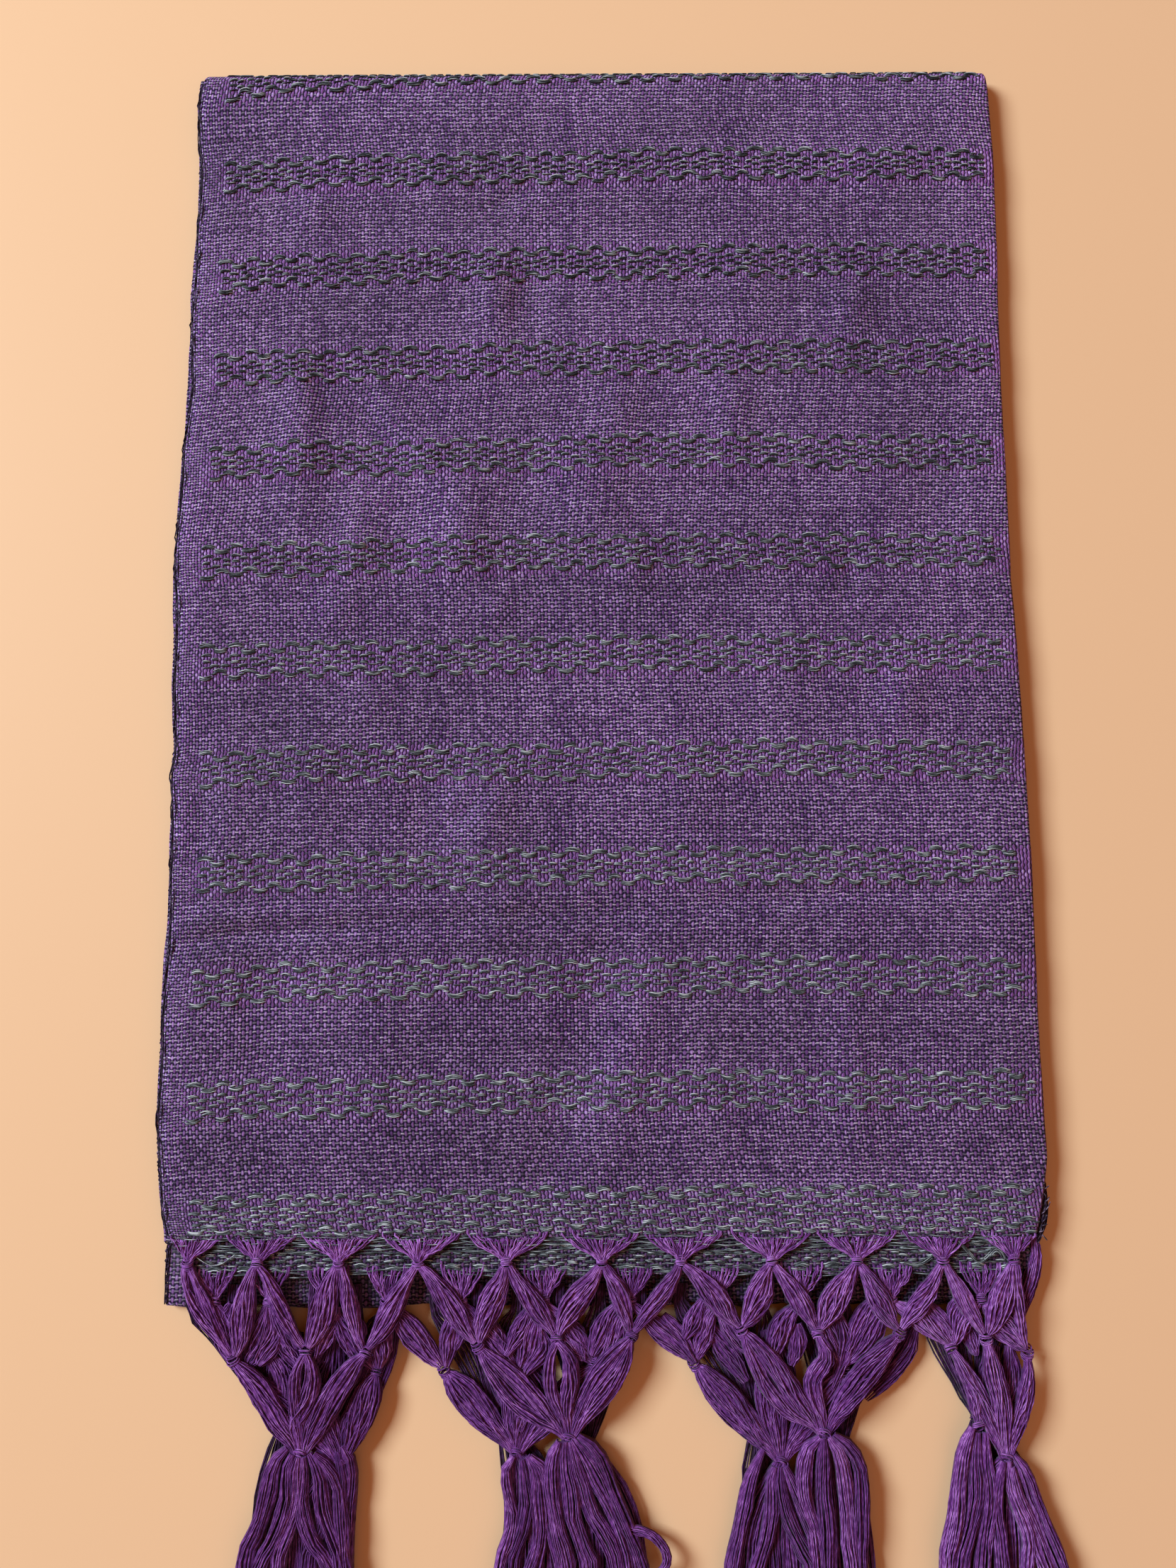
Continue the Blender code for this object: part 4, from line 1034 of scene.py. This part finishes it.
fringe = {
    "upper": {
        "knots": (-155.4, -129.0, -98.3, -68.3, -34.9, 1.2, 31.1, 65.3, 97.6, 129.9, 156.8),
        "knotAt": (-250.0, 8.75),    # y, z
        "clothAt": (shawl["upperEdgeY"], 8.6),
        "margins": (2.0, 3.0),       # in from the borders
        "widest": 16.0,              # from a knot to its last warp
        "higher": 0.0,
        "tone": 0.84,
        "seed": 21,
    },
    "lower": {
        "knots": (144.4, 110.4, 76.8, 44.5, 12.1, -20.7, -52.0, -80.5, -102.7, -124.8, -145.2),
        "knotAt": (-264.6, 6.75),
        "clothAt": (shawl["lowerEdgeY"], 6.95),
        "margins": (2.0, 5.0),
        "widest": 8.5,
        "higher": 3.0,
        # the lower fans are painted darker, as shade
        "tone": 0.68,
        "seed": 22,
    },
    "secondKnots": (                 # x, y, z, tassel
        (-137.3, -284.8, 8.1, 0), (-110.1, -281.8, 8.2, 0), (-87.6, -282.4, 8.1, 0), (-45.6, -280.3, 8.1, 1),
        (-15.9, -277.6, 8.2, 1), (12.3, -276.7, 8.1, 1), (53.3, -274.8, 8.1, 2), (82.2, -275.9, 8.2, 2),
        (112.8, -276.0, 8.1, 2), (145.0, -277.9, 8.1, 3), (161.0, -284.0, 6.2, 3), (132.4, -282.0, 6.4, 3),
        (92.0, -289.5, 4.7, 4), (62.0, -289.0, 4.7, 4), (35.8, -287.8, 4.7, 4), (-2.0, -288.5, 4.7, 5),
        (-31.0, -291.0, 4.7, 5), (-58.5, -290.0, 4.7, 5), (-84.0, -290.5, 4.7, 6), (-110.0, -292.0, 4.7, 6),
        (-134.0, -291.0, 4.7, 6),
    ),
    "heads": (                       # x, y, z, spread of the tails, then of their ends
        (-111.5, -318.2, 7.6, -129.0, -111.0, -134.5, -114.0), (-11.5, -312.8, 7.6, -10.0, 13.5, -8.0, 16.5),
        (83.5, -311.4, 7.6, 78.5, 98.0, 79.5, 102.5), (151.3, -320.9, 6.2, 133.5, 165.0, 130.5, 169.0),
        (67.6, -321.8, 5.6, 54.0, 72.0, 50.0, 72.0), (-31.0, -318.5, 5.6, -33.0, -15.0, -36.0, -15.0),
        (-97.0, -322.0, 5.6, -110.0, -95.5, -112.0, -95.0),
    ),
    "underHeads": (                  # x, y, spread of the tails, then of their ends
        (-119.0, -311.0, -127.5, -113.5, -133.0, -116.0), (-98.0, -318.0, -107.5, -97.5, -109.0, -96.0),
        (-37.5, -309.0, -32.0, -14.5, -35.0, -16.0), (-5.0, -318.0, -8.0, 11.5, -9.0, 14.0),
        (60.0, -309.0, 55.0, 72.0, 51.0, 72.0), (90.0, -320.0, 79.0, 95.5, 79.0, 100.5),
        (143.0, -309.0, 135.0, 163.0, 133.0, 166.0),
    ),
    "halfWide": (                    # left and right half under each upper first knot
        (2.2, 2.4), (4.5, 3.0), (4.9, 3.0), (3.7, 4.2), (4.7, 3.8), (4.6, 3.4), (3.3, 4.2), (4.9, 3.6),
        (5.2, 4.0), (3.7, 3.2), (4.9, 2.3),
    ),
    "arms": (                        # second knot, half width, sideways at a quarter, half and three quarters
        (0, 4.2, 1.5, 1.2, 0.3), (1, 2.4, -3.2, -3.0, -1.2), (1, 3.2, 3.2, 2.0, -1.8),
        (2, 4.7, -1.2, -1.5, -0.8), (3, 3.3, 1.0, 1.5, 1.0), (3, 2.6, -3.5, -5.0, -3.6),
        (4, 2.3, -4.0, -4.6, -2.5), (4, 3.1, 4.0, 3.0, 0.2), (5, 4.6, -1.5, -2.0, -1.2),
        (5, 3.0, 3.0, 3.2, 1.2), (6, 3.8, 1.2, 1.0, 0.2), (6, 2.6, -4.0, -6.0, -5.0),
        (7, 3.3, 2.6, -3.2, -2.0), (8, 4.8, -0.8, -1.0, -0.6), (9, 3.8, 0.5, 1.5, 1.0),
        (10, 3.0, 2.0, 2.0, 1.0), (11, 3.2, 1.0, 1.5, 1.0),
    ),
    "locks": (                       # tails that show: tassel, half width, then the path
        (0, 2.9, (-116, -316), (-121, -322), (-123, -332), (-126, -343), (-130, -351), (-131, -358)),
        (0, 2.8, (-114, -318), (-116, -324), (-116, -335), (-119, -345), (-123, -353), (-126, -358)),
        (0, 2.6, (-110, -319), (-110, -326), (-111, -336), (-108, -346), (-104, -353), (-100, -358)),
        (0, 2.8, (-112, -319), (-113, -325), (-113, -335), (-115, -343), (-118, -351), (-119, -358)),
        (0, 2.9, (-108, -318), (-104, -326), (-103, -336), (-100, -345), (-96, -353), (-95, -358)),
        (0, 2.5, (-106, -318), (-101, -323), (-97, -331), (-96, -341), (-95, -349), (-95, -358)),
        (1, 2.6, (-15, -314), (-17, -319), (-18, -327), (-17, -337), (-15, -347), (-12, -358)),
        (1, 2.8, (-11, -314), (-9, -322), (-6, -331), (-3, -340), (3, -349), (6, -359)),
        (1, 2.9, (-13, -314), (-13, -322), (-11, -332), (-10, -341), (-7, -350), (-4, -358)),
        (1, 2.7, (-8, -312), (-2, -317), (2, -325), (5, -334), (9, -343), (12, -350), (15, -359)),
        (1, 3.0, (-10, -313), (-5, -320), (-1, -328), (4, -337), (8, -347), (11, -359)),
        (2, 2.7, (82, -313), (78, -317), (76, -325), (76, -335), (79, -345), (80, -359)),
        (2, 2.8, (85, -313), (89, -319), (91, -329), (92, -341), (92, -350), (93, -359)),
        (2, 3.0, (83, -313), (83, -321), (83, -333), (84, -345), (84, -359)),
        (2, 2.6, (87, -312), (92, -316), (96, -322), (97, -329), (97, -341), (96, -359)),
        (3, 2.8, (139, -310), (136, -318), (134, -329), (132, -342), (129, -352), (128, -359)),
        (3, 2.8, (144, -312), (144, -323), (145, -334), (143, -346), (142, -352), (141, -359)),
        (3, 2.8, (141, -312), (140, -321), (140, -334), (137, -346), (135, -352), (133, -359)),
        (3, 2.4, (150, -322), (148, -330), (147, -339), (148, -350), (148, -359)),
        (3, 2.7, (154, -320), (158, -326), (161, -335), (165, -346), (168, -354), (170, -360)),
        (3, 2.6, (152, -322), (153, -332), (157, -342), (159, -350), (158, -359)),
        (3, 2.6, (153, -324), (155, -334), (160, -346), (162, -353), (164, -359)),
        (4, 2.7, (61, -318), (56, -329), (54, -338), (52, -346), (50, -354), (49, -359)),
        (4, 2.6, (65, -324), (64, -329), (64, -338), (62, -348), (60, -354), (58, -359)),
        (4, 2.8, (67, -324), (67, -331), (69, -340), (73, -349), (76, -355), (78, -359)),
        (4, 2.8, (69, -324), (72, -331), (76, -340), (80, -349), (82, -355), (83, -360)),
        (5, 2.0, (-32, -320), (-35, -325), (-34, -333), (-32, -341), (-34, -350), (-37, -359)),
        (5, 2.7, (-27, -320), (-24, -326), (-23, -336), (-22, -346), (-23, -354), (-25, -359)),
        (5, 2.6, (-29, -321), (-28, -329), (-27, -337), (-29, -346), (-32, -354), (-33, -359)),
        (5, 2.5, (-26, -320), (-21, -325), (-19, -336), (-17, -347), (-15, -354), (-14, -359)),
        (6, 2.4, (-96, -316), (-93, -322), (-93, -332), (-94, -342), (-94, -350), (-94, -359)),
        (6, 2.8, (-98, -318), (-96, -327), (-96, -336), (-97, -346), (-98, -353), (-98, -359)),
        (6, 2.8, (-101, -319), (-100, -327), (-102, -336), (-104, -346), (-107, -353), (-108, -359)),
        (6, 2.8, (-104, -319), (-105, -327), (-111, -336), (-116, -346), (-121, -353), (-123, -359)),
    ),
    "backs": (                       # bunches behind: tassel, half width, height, shade, then the path; the low ones are painted darker, as shade
        (0, 4.1, 6.2, 0.02, (-124, -267), (-122, -275), (-125, -282), (-128, -287)),
        (0, 3.9, 6.2, 0.02, (-99, -266), (-101, -273), (-104, -278), (-106, -283)),
        (0, 2.7, 6.0, -0.05, (-139, -265), (-141, -270), (-141, -276)),
        (0, 3.4, 4.6, -0.2, (-126, -282), (-120, -290), (-118, -296), (-117, -304)),
        (0, 3.4, 5.8, -0.05, (-96, -268), (-91, -275), (-90, -280)),
        (3, 3.9, 6.2, 0.0, (123, -266), (128, -272), (133, -279)),
        (3, 3.2, 6.0, 0.02, (137, -262), (135, -269), (133, -276)),
        (3, 3.2, 5.0, -0.08, (138, -272), (140, -278), (142, -285)),
        (3, 4.1, 3.6, -0.2, (150, -282), (147, -294), (150, -306)),
        (3, 3.6, 3.6, -0.2, (155, -282), (156, -294), (154, -306)),
        (4, 3.6, 5.6, 0.0, (24, -270), (30, -278), (36, -287)),
        (4, 3.6, 6.2, 0.04, (40, -264), (36, -272), (32, -278)),
        (4, 4.5, 5.2, -0.08, (42, -274), (48, -283), (55, -294)),
        (4, 4.3, 6.0, -0.02, (39, -289), (50, -301), (60, -316)),
        (4, 5.4, 3.4, -0.2, (63, -276), (67, -287), (69, -297), (68, -310)),
        (4, 3.3, 6.2, 0.0, (75, -273), (75, -280), (72, -288)),
        (4, 2.9, 5.6, -0.06, (89, -268), (92, -276), (92, -284), (87, -297)),
        (4, 3.6, 6.0, 0.0, (105, -264), (99, -272), (93, -283)),
        (4, 3.6, 3.6, -0.2, (120, -274), (116, -284), (107, -294), (100, -301)),
        (4, 4.5, 3.2, -0.25, (87, -284), (86, -294), (85, -304)),
        (5, 2.7, 5.6, 0.0, (-53, -268), (-52, -275), (-54, -282)),
        (5, 2.9, 5.8, -0.02, (-41, -272), (-38, -278), (-36, -283)),
        (5, 3.4, 6.3, 0.04, (-27, -268), (-30, -275), (-35, -284)),
        (5, 3.2, 6.0, -0.02, (-22, -275), (-21, -282), (-28, -291)),
        (5, 3.4, 5.8, 0.0, (-12, -271), (-8, -278), (-6, -286)),
        (5, 4.3, 6.2, 0.02, (8, -266), (2, -274), (-3, -284)),
        (5, 5.4, 3.4, -0.2, (-34, -283), (-26, -292), (-21, -301), (-18, -309)),
        (5, 5.0, 3.2, -0.25, (-10, -285), (-9, -295), (-10, -304), (-13, -310)),
        (5, 5.0, 3.2, -0.25, (2, -282), (-2, -292), (-5, -301), (-9, -309)),
        (5, 4.5, 3.2, -0.22, (-44, -276), (-39, -288), (-34, -301), (-29, -314)),
        (6, 5.4, 3.6, -0.22, (-78, -271), (-82, -284), (-87, -296), (-91, -306), (-96, -316)),
        (6, 4.5, 4.8, -0.12, (-88, -301), (-93, -308), (-96, -318)),
        (6, 5.0, 3.2, -0.28, (-114, -276), (-118, -284), (-121, -291), (-117, -301)),
        (6, 5.9, 3.0, -0.28, (-100, -279), (-102, -290), (-106, -299), (-109, -308)),
    ),
    "lockLevels": (6.3, 6.4, 6.4, 5.9, 5.6, 5.6, 4.7),
    "curl": ((6.1, -339.2), (9.6, -344.9), (14.8, -345.9), (20.0, -348.2), (23.7, -352.3), (24.7, -356.5),
             (22.5, -360.4), (19.0, -361.5)),
    "hiddenArms": ((3.8, -2.0, -1.8, -0.8), (3.8, 2.0, 1.6, 0.6)),
    "foldBunch": (                   # x, y, z, half width, half depth
        (165.2, -241.5, 6.4, 0.8, 0.6), (166.2, -247.5, 6.2, 2.0, 1.0), (165.0, -255.0, 5.8, 2.7, 1.1),
        (161.8, -264.0, 5.4, 2.5, 1.1), (158.4, -273.5, 5.8, 1.2, 0.9),
    ),
    "sideHead": (141.3, -309.6, 6.9),
    "sideArm": ((137.5, -291.0, 5.6), (141.3, -308.0, 6.3), (0.5, 1.0, 0.6), 2.6),
    # tones of the tassels; the last three lie lower and are painted darker, as shade, and the tassels under
    # the cloth darker still
    "tones": (0.56, 0.5, 0.59, 0.68, 0.44, 0.46, 0.28),
    "shadedUnderTone": 0.24,
    "underKnotZ": 1.95,
    "underArmPitch": 15.4,
    "tailEndY": -440.0,
    "fillLevel": 3.7,
    "underLevel": 1.9,
}


def firstKnots():
    return [(x, *row["knotAt"], way) for row, way in ((fringe["upper"], 1), (fringe["lower"], -1))
            for x in row["knots"]]


def eitherWay(rng, size):
    return rng.choice((-size, size))


def makeFans(name, fan):
    yarns = yarnSet(fan["seed"])
    rng = yarns.rng
    edgeY, clothZ = fan["clothAt"]
    knotY, knotZ = fan["knotAt"]
    tone = fan["tone"]
    leftIn, rightIn = fan["margins"]
    xs = sorted(fan["knots"])
    middles = [(a + b) / 2 for a, b in zip(xs, xs[1:])]
    bounds = [leftEdge(edgeY) + leftIn, *middles, rightEdge(edgeY) - rightIn]
    reach = edgeY - knotY
    hump = clothZ + 0.4
    for index, knotX in enumerate(xs):
        low = max(bounds[index] + 0.6, knotX - fan["widest"])
        high = min(bounds[index + 1] - 0.6, knotX + fan["widest"])
        warps = int((high - low) / shawl["warpPitch"])
        for warp in range(warps):
            if warp % 3 == 0:
                clump = rng.uniform(-1.0, 1.0)
            warpX = low + (warp + 0.5 + rng.uniform(-0.25, 0.25)) * (high - low) / warps
            away = warpX - knotX
            steep = min(abs(away) / 14.0, 1.15)
            top = edgeY + fan["higher"] - 1.2 + 0.6 * clump + rng.uniform(-0.8, 0.9) + 3.4 * steep ** 1.5
            lift = rng.uniform(-0.2, 0.7)
            drift = 0.4 * clump
            shade = tone + rng.normal(0, 0.18)
            weaving = (0.9, -0.6, 0.3, 1.3)[warp % 4] * rng.uniform(0.4, 1.0)
            for strand in (0, 1):
                mate = strand * rng.uniform(0.3, 0.5)
                halfway = (hump + knotZ) / 2 + 0.2 + lift
                path = [
                    (warpX + mate, top + weaving, clothZ - 0.25),
                    (warpX + mate - away * 0.01, top + weaving - 1.6, hump),
                    (knotX + away * 0.9 + mate + drift, edgeY - 0.2, hump + lift * 0.6),
                    (knotX + away * 0.62 + mate + drift, edgeY - reach * 0.36, halfway),
                    (knotX + away * 0.27 + mate * 0.8, edgeY - reach * 0.68, knotZ + 0.3 + lift * 0.6),
                    (knotX + away * 0.09, knotY + 0.6, knotZ + rng.uniform(-0.6, 0.9)),
                ]
                line = smoothPath(path, 10)
                line[2:-1] += rng.normal(0, 0.21, (7, 3))
                radius = (0.4, 0.32)[strand] * rng.uniform(0.85, 1.15)
                yarns.add(line, radius, randomShade(rng, shade - 0.2 * strand, 0.14))
        tie(yarns, (knotX, knotY, knotZ), (rng.uniform(-0.12, 0.12), 1, 0), 2.1, 1.45, 8, 3.2, 0.3,
            eitherWay(rng, 0.7), tone)
    return yarns.sweep(name, fringeCotton)


fansUpper = makeFans("fringeFansUpper", fringe["upper"])
fansLower = makeFans("fringeFansLower", fringe["lower"])


def crosswise(run):
    return np.array((-run[1], run[0], 0.0)) / np.hypot(run[0], run[1])


def halfBunches(yarns, index, knots, place, tone):   # the two halves that meet in one second knot
    rng = yarns.rng
    last = len(knots) - 1
    halves = [(index, 1), (index + 1, -1)]
    if index == 0:
        halves.append((0, -1))
    if index + 1 == last:
        halves.append((last, 1))
    for number, half in halves:
        knotX, knotY, knotZ, way = knots[number]
        start = np.array((knotX + 0.9 * half * way, knotY - 1.4, knotZ))
        end = place + np.array((np.sign(start[0] - place[0]) * 0.9, 1.6, 0.2))
        run = end - start
        normal = crosswise(run)
        bow = normal * rng.uniform(-1.4, 1.4)
        twist = normal * rng.uniform(-0.9, 0.9)
        wide = rng.uniform(3.4, 4.8)
        if number < len(fringe["halfWide"]):
            wide = fringe["halfWide"][number][0 if half < 0 else 1]
        if number == 0 and half < 0:
            bow = normal * -2.6
        full = rng.uniform(0.42, 0.6)     # where the bunch is fullest
        stations = [
            (*start, 1.3, 1.1),
            (*(start + run * full * 0.35 + bow * 0.6 + twist), wide * 0.6, 1.6),
            (*(start + run * full * 0.75 + bow + twist * 0.6), wide * 0.94, 2.1),
            (*(start + run * full * 1.2 + bow), wide, 2.1),
            (*(start + run * 0.86 + bow * 0.4 - twist * 0.5), wide * 0.62, 1.6),
            (*end, 1.2, 1.0),
        ]
        turn = eitherWay(rng, 1) * rng.uniform(0.4, 1.3)
        lighter = rng.uniform(0.06, 0.24)
        bundle(yarns, stations, int(9 + wide * 2.9), 0.29, 11, turn, 0.2, tone=tone + lighter)


def layLeaf(yarns, points, wide, z, tone):   # a short bunch that narrows at both ends
    last = len(points) - 1
    stations = []
    for number, (x, y) in enumerate(points):
        full = 0.38 if number in (0, last) else 1.0
        stations.append((x, y, z, max(wide * full, 0.9), 1.2 + 0.4 * full))
    bundle(yarns, stations, int(8 + wide * 2.6), 0.29, 9, yarns.rng.uniform(-0.9, 0.9), 0.2, tone=tone)


def layArm(yarns, knot, root, offsets, wide, tone):   # from a second knot to the tassel's head
    rng = yarns.rng
    run = root - knot
    normal = crosswise(run)
    stations = [(*(knot + run * 0.03), 1.3, 1.0)]
    sideways = (offsets[0] * 0.6, *offsets)
    for share, off, width in zip((0.13, 0.27, 0.5, 0.74), sideways, (0.6, 0.88, 1.0, 0.9)):
        stations.append((*(knot + run * share + normal * off), wide * width, 1.95))
    stations.append((*(knot + run * 0.92 + normal * offsets[2] * 0.35), wide * 0.55, 1.1))
    stations.append((*(root + np.array((0, -1.6, 0))), 1.0, 0.9))
    turn = eitherWay(rng, 1) * rng.uniform(0.5, 1.4)
    bundle(yarns, stations, int(8 + wide * 3), 0.29, 13, turn, 0.2, tone=tone)


def layLock(yarns, points, headZ, level, wide, deep, tone, count=15, endX=None, steps=24):
    # a hanging lock, drawn on past its last point to the end of the fringe
    rng = yarns.rng
    phase = rng.uniform(0, 6.3)
    stations = []
    for number, (x, y) in enumerate(points):
        z = headZ + (level - headZ) * min(number / 2.0, 1.0) + 0.35 * sin(number * 1.9 + phase)
        swell = 1 + 0.12 * sin(number * 2.1 + phase)
        width = wide * (0.36, 0.8, swell)[min(number, 2)]
        stations.append((x, y, z, width, deep * (0.7 if number < 1 else 1.0)))
    beforeX, beforeY = points[-2]
    lastX, lastY = points[-1]
    if endX is None:
        endX = lastX - np.clip((lastX - beforeX) / (lastY - beforeY), -0.3, 0.3) * 14
    endY = fringe["tailEndY"] + rng.uniform(-2.5, 2.5)
    for share in (0.3, 0.62, 1.0):
        x = lastX + (endX - lastX) * smoothStep(share) + 1.6 * sin(share * 5 + phase)
        stations.append((x, lastY + (endY - lastY) * share, level + 0.5 * sin(share * 7 + phase), wide, deep))
    yarns.softness = 1.0
    turn = rng.uniform(-1.3, 1.3)
    bundle(yarns, stations, count, 0.32, steps, turn, 0.12, ragged=3, fill=0.2, tone=tone - 0.04, vary=0.09)
    yarns.softness = 0.0


# locks spread evenly under a head, which fill the tassel behind those that are drawn one by one
def hangTails(yarns, headX, headY, headZ, spread, level, tone, columns, count, wide, deep):
    rng = yarns.rng
    spreadLeft, spreadRight, endLeft, endRight = spread
    for across in np.arange(columns) / (columns - 1):
        spreadX = spreadLeft + (spreadRight - spreadLeft) * across
        points = [(headX + (across - 0.5) * 3.0, headY - 1.0)]
        for share in (0.16, 0.4, 0.7, 1.0):
            opening = 1 - (1 - share) ** 2
            x = headX + (spreadX - headX) * opening + rng.uniform(-1.0, 1.0) * share
            points.append((x, headY - 40.0 * share))
        height = level + rng.uniform(-0.25, 0.25)
        width = wide * rng.uniform(0.85, 1.2)
        endX = endLeft + (endRight - endLeft) * across
        layLock(yarns, points, headZ, height, width, deep, tone + rng.uniform(-0.1, 0.1), count, endX, 17)


def makeTassel(number):
    yarns = yarnSet(100 + number)
    rng = yarns.rng
    headX, headY, headZ, *spread = fringe["heads"][number]
    knots = firstKnots()
    tone = fringe["tones"][number]
    mine = [(index, row) for index, row in enumerate(fringe["secondKnots"]) if row[3] == number]
    mine.sort(key=lambda item: item[1][0])
    for place, (index, (x, y, z, _)) in enumerate(mine):
        knot = np.array((x, y, z))
        root = np.array((headX + (place - 1) * 1.6, headY + 1.4, headZ))
        seenArms = [row[1:] for row in fringe["arms"] if row[0] == index]
        for wide, *offsets in seenArms or fringe["hiddenArms"]:
            layArm(yarns, knot, root, offsets, wide, tone + rng.uniform(-0.05, 0.05))
        run = root - knot
        tie(yarns, knot, (run[0] * 0.5, run[1], 0), 2.3, 1.5, 6, 3.8, 0.36, eitherWay(rng, 0.8), tone + 0.06)
        halfBunches(yarns, index, knots, knot, tone)
    tie(yarns, (headX, headY, headZ), (0.25, 1, 0), 2.5, 1.6, 4, 1.9, 0.38, 0.8, tone + 0.05)
    for owner, wide, z, shade, *points in fringe["backs"]:
        if owner == number:
            layLeaf(yarns, points, wide, z, tone + shade)
    level = fringe["lockLevels"][number]
    for owner, wide, *points in fringe["locks"]:
        if owner == number:
            layLock(yarns, points, headZ + 0.3, level, wide, 1.7, tone + rng.uniform(-0.26, 0.16))
    if number == 1:       # one tail curls away from the others
        stations = [(x, y, 6.6, 1.5, 1.0) for x, y in fringe["curl"]]
        bundle(yarns, stations, 12, 0.27, 16, 2.0, 0.1, tone=tone)
    if number == 3:       # the right tassel has a second head, and a bunch from the fold
        tie(yarns, fringe["sideHead"], (-0.2, 1, 0), 2.3, 1.4, 4, 1.9, 0.36, 0.7, tone + 0.05)
        bundle(yarns, fringe["foldBunch"], 14, 0.27, 10, 0.3, 0.15, tone=tone - 0.05)
        knot, root, offsets, wide = fringe["sideArm"]
        layArm(yarns, np.array(knot), np.array(root), offsets, wide, tone - 0.1)
    # the fill locks behind are painted darker, as shade
    hangTails(yarns, headX, headY, headZ - 0.6, spread, fringe["fillLevel"], tone - 0.16, 5, 11, 3.0, 1.3)
    return yarns.sweep("tasselYarns%d" % (number + 1), fringeCotton)


def makeUnderTassel(number):
    yarns = yarnSet(200 + number)
    headX, headY, *spread = fringe["underHeads"][number]
    headZ = fringe["underKnotZ"]
    foldY = shawl["foldEdgeY"]
    tone = fringe["shadedUnderTone"]
    for place in range(3):
        rootX = (number * 3 + place - 10) * fringe["underArmPitch"]
        away = headX - rootX
        stations = [
            (rootX, shawl["lowerEdgeY"] - 3.6, 4.85, 2.2, 0.4), (rootX, foldY - 0.8, 4.8, 2.3, 0.45),
            (rootX + away * 0.2, foldY - 6.0, 3.6, 5.0, 0.7),
            (rootX + away * 0.5, foldY - 18.0, 2.1, 5.6, 0.8),
            (headX - away * 0.1, headY + 3.0, 1.9, 1.5, 0.8), (headX, headY - 1, 1.9, 1.2, 0.8),
        ]
        bundle(yarns, stations, 12, 0.4, 11, 0.3, 0.12, tone=tone)
    tie(yarns, (headX, headY, headZ), (0.1, 1, 0), 2.8, 1.2, 5, 3.4, 0.4, 0.6, tone + 0.06)
    hangTails(yarns, headX, headY, headZ, spread, fringe["underLevel"], tone + 0.01, 4, 8, 3.2, 0.95)
    return yarns.sweep("tasselUnderYarns%d" % (number + 1), fringeCottonShaded)


tassels = [makeTassel(number) for number in range(len(fringe["heads"]))]
underTassels = [makeUnderTassel(number) for number in range(len(fringe["underHeads"]))]
print("fringe ready")

floorSet = {"half": 4.0, "colour": paint(206, 171, 138)}


def makeFloor(values):
    half = values["half"]
    mesh = bpy.data.meshes.new("floor")
    corners = [(-half, -half, -0.0002), (half, -half, -0.0002), (half, half, -0.0002), (-half, half, -0.0002)]
    mesh.from_pydata(corners, [], [(0, 1, 2, 3)])
    material, nodes, shader = newFinish("paleFloor", 0.55, 0.0)
    shader.inputs["Base Color"].default_value = values["colour"]
    mesh.materials.append(material)
    floor = bpy.data.objects.new("floor", mesh)
    scene.collection.objects.link(floor)


lightSet = {
    "key": {"place": (-2.9, 1.15, 2.35), "size": 1.5, "power": 292.0, "colour": (0.80, 0.96, 1.0)},
    "fill": {"place": (1.2, -1.2, 2.4), "size": 2.4, "power": 9.0, "colour": (1.0, 0.92, 0.86)},
    "sky": {"colour": (1.0, 0.34, 0.09, 1.0), "strength": 0.4},
}


def makeLights(values):
    for name in ("key", "fill"):
        setting = values[name]
        lamp = bpy.data.lights.new(name, "AREA")
        lamp.shape = "SQUARE"
        lamp.size = setting["size"]
        lamp.energy = setting["power"]
        lamp.color = setting["colour"]
        holder = bpy.data.objects.new(name, lamp)
        holder.location = setting["place"]
        aim = np.array((0.0, -0.05, 0.0)) - np.array(setting["place"])
        holder.rotation_mode = "QUATERNION"
        holder.rotation_quaternion = Vector(aim).to_track_quat("-Z", "Y")
        scene.collection.objects.link(holder)
    world = bpy.data.worlds.new("room")
    world.use_nodes = True
    background = world.node_tree.nodes["Background"]
    background.inputs[0].default_value = values["sky"]["colour"]
    background.inputs[1].default_value = values["sky"]["strength"]
    scene.world = world
    scene.view_settings.view_transform = "Standard"


makeFloor(floorSet)
makeLights(lightSet)

# what each piece stands for
stands = [
    (clothTop, "cloth_top_layer", "woven_cloth"), (clothUnder, "cloth_inner_layers", "woven_cloth_under"),
    (fansUpper, "fringe_edge_upper", "fringe_cotton"), (fansLower, "fringe_edge_lower", "fringe_cotton"),
]
for prefix, group in (("tassel_", tassels), ("tassel_under_", underTassels)):
    stands += [(piece, prefix + str(number + 1), "fringe_cotton") for number, piece in enumerate(group)]
stands += [(piece, None, "brocade_weft") for piece in (floatsUpper, floatsLower, edgeWefts)]
stands.append((selvedgeLoops, None, "woven_cloth_under"))
for piece, node, slotName in stands:
    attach(piece, "root")
    if node:
        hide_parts(node)

print("pieces placed")
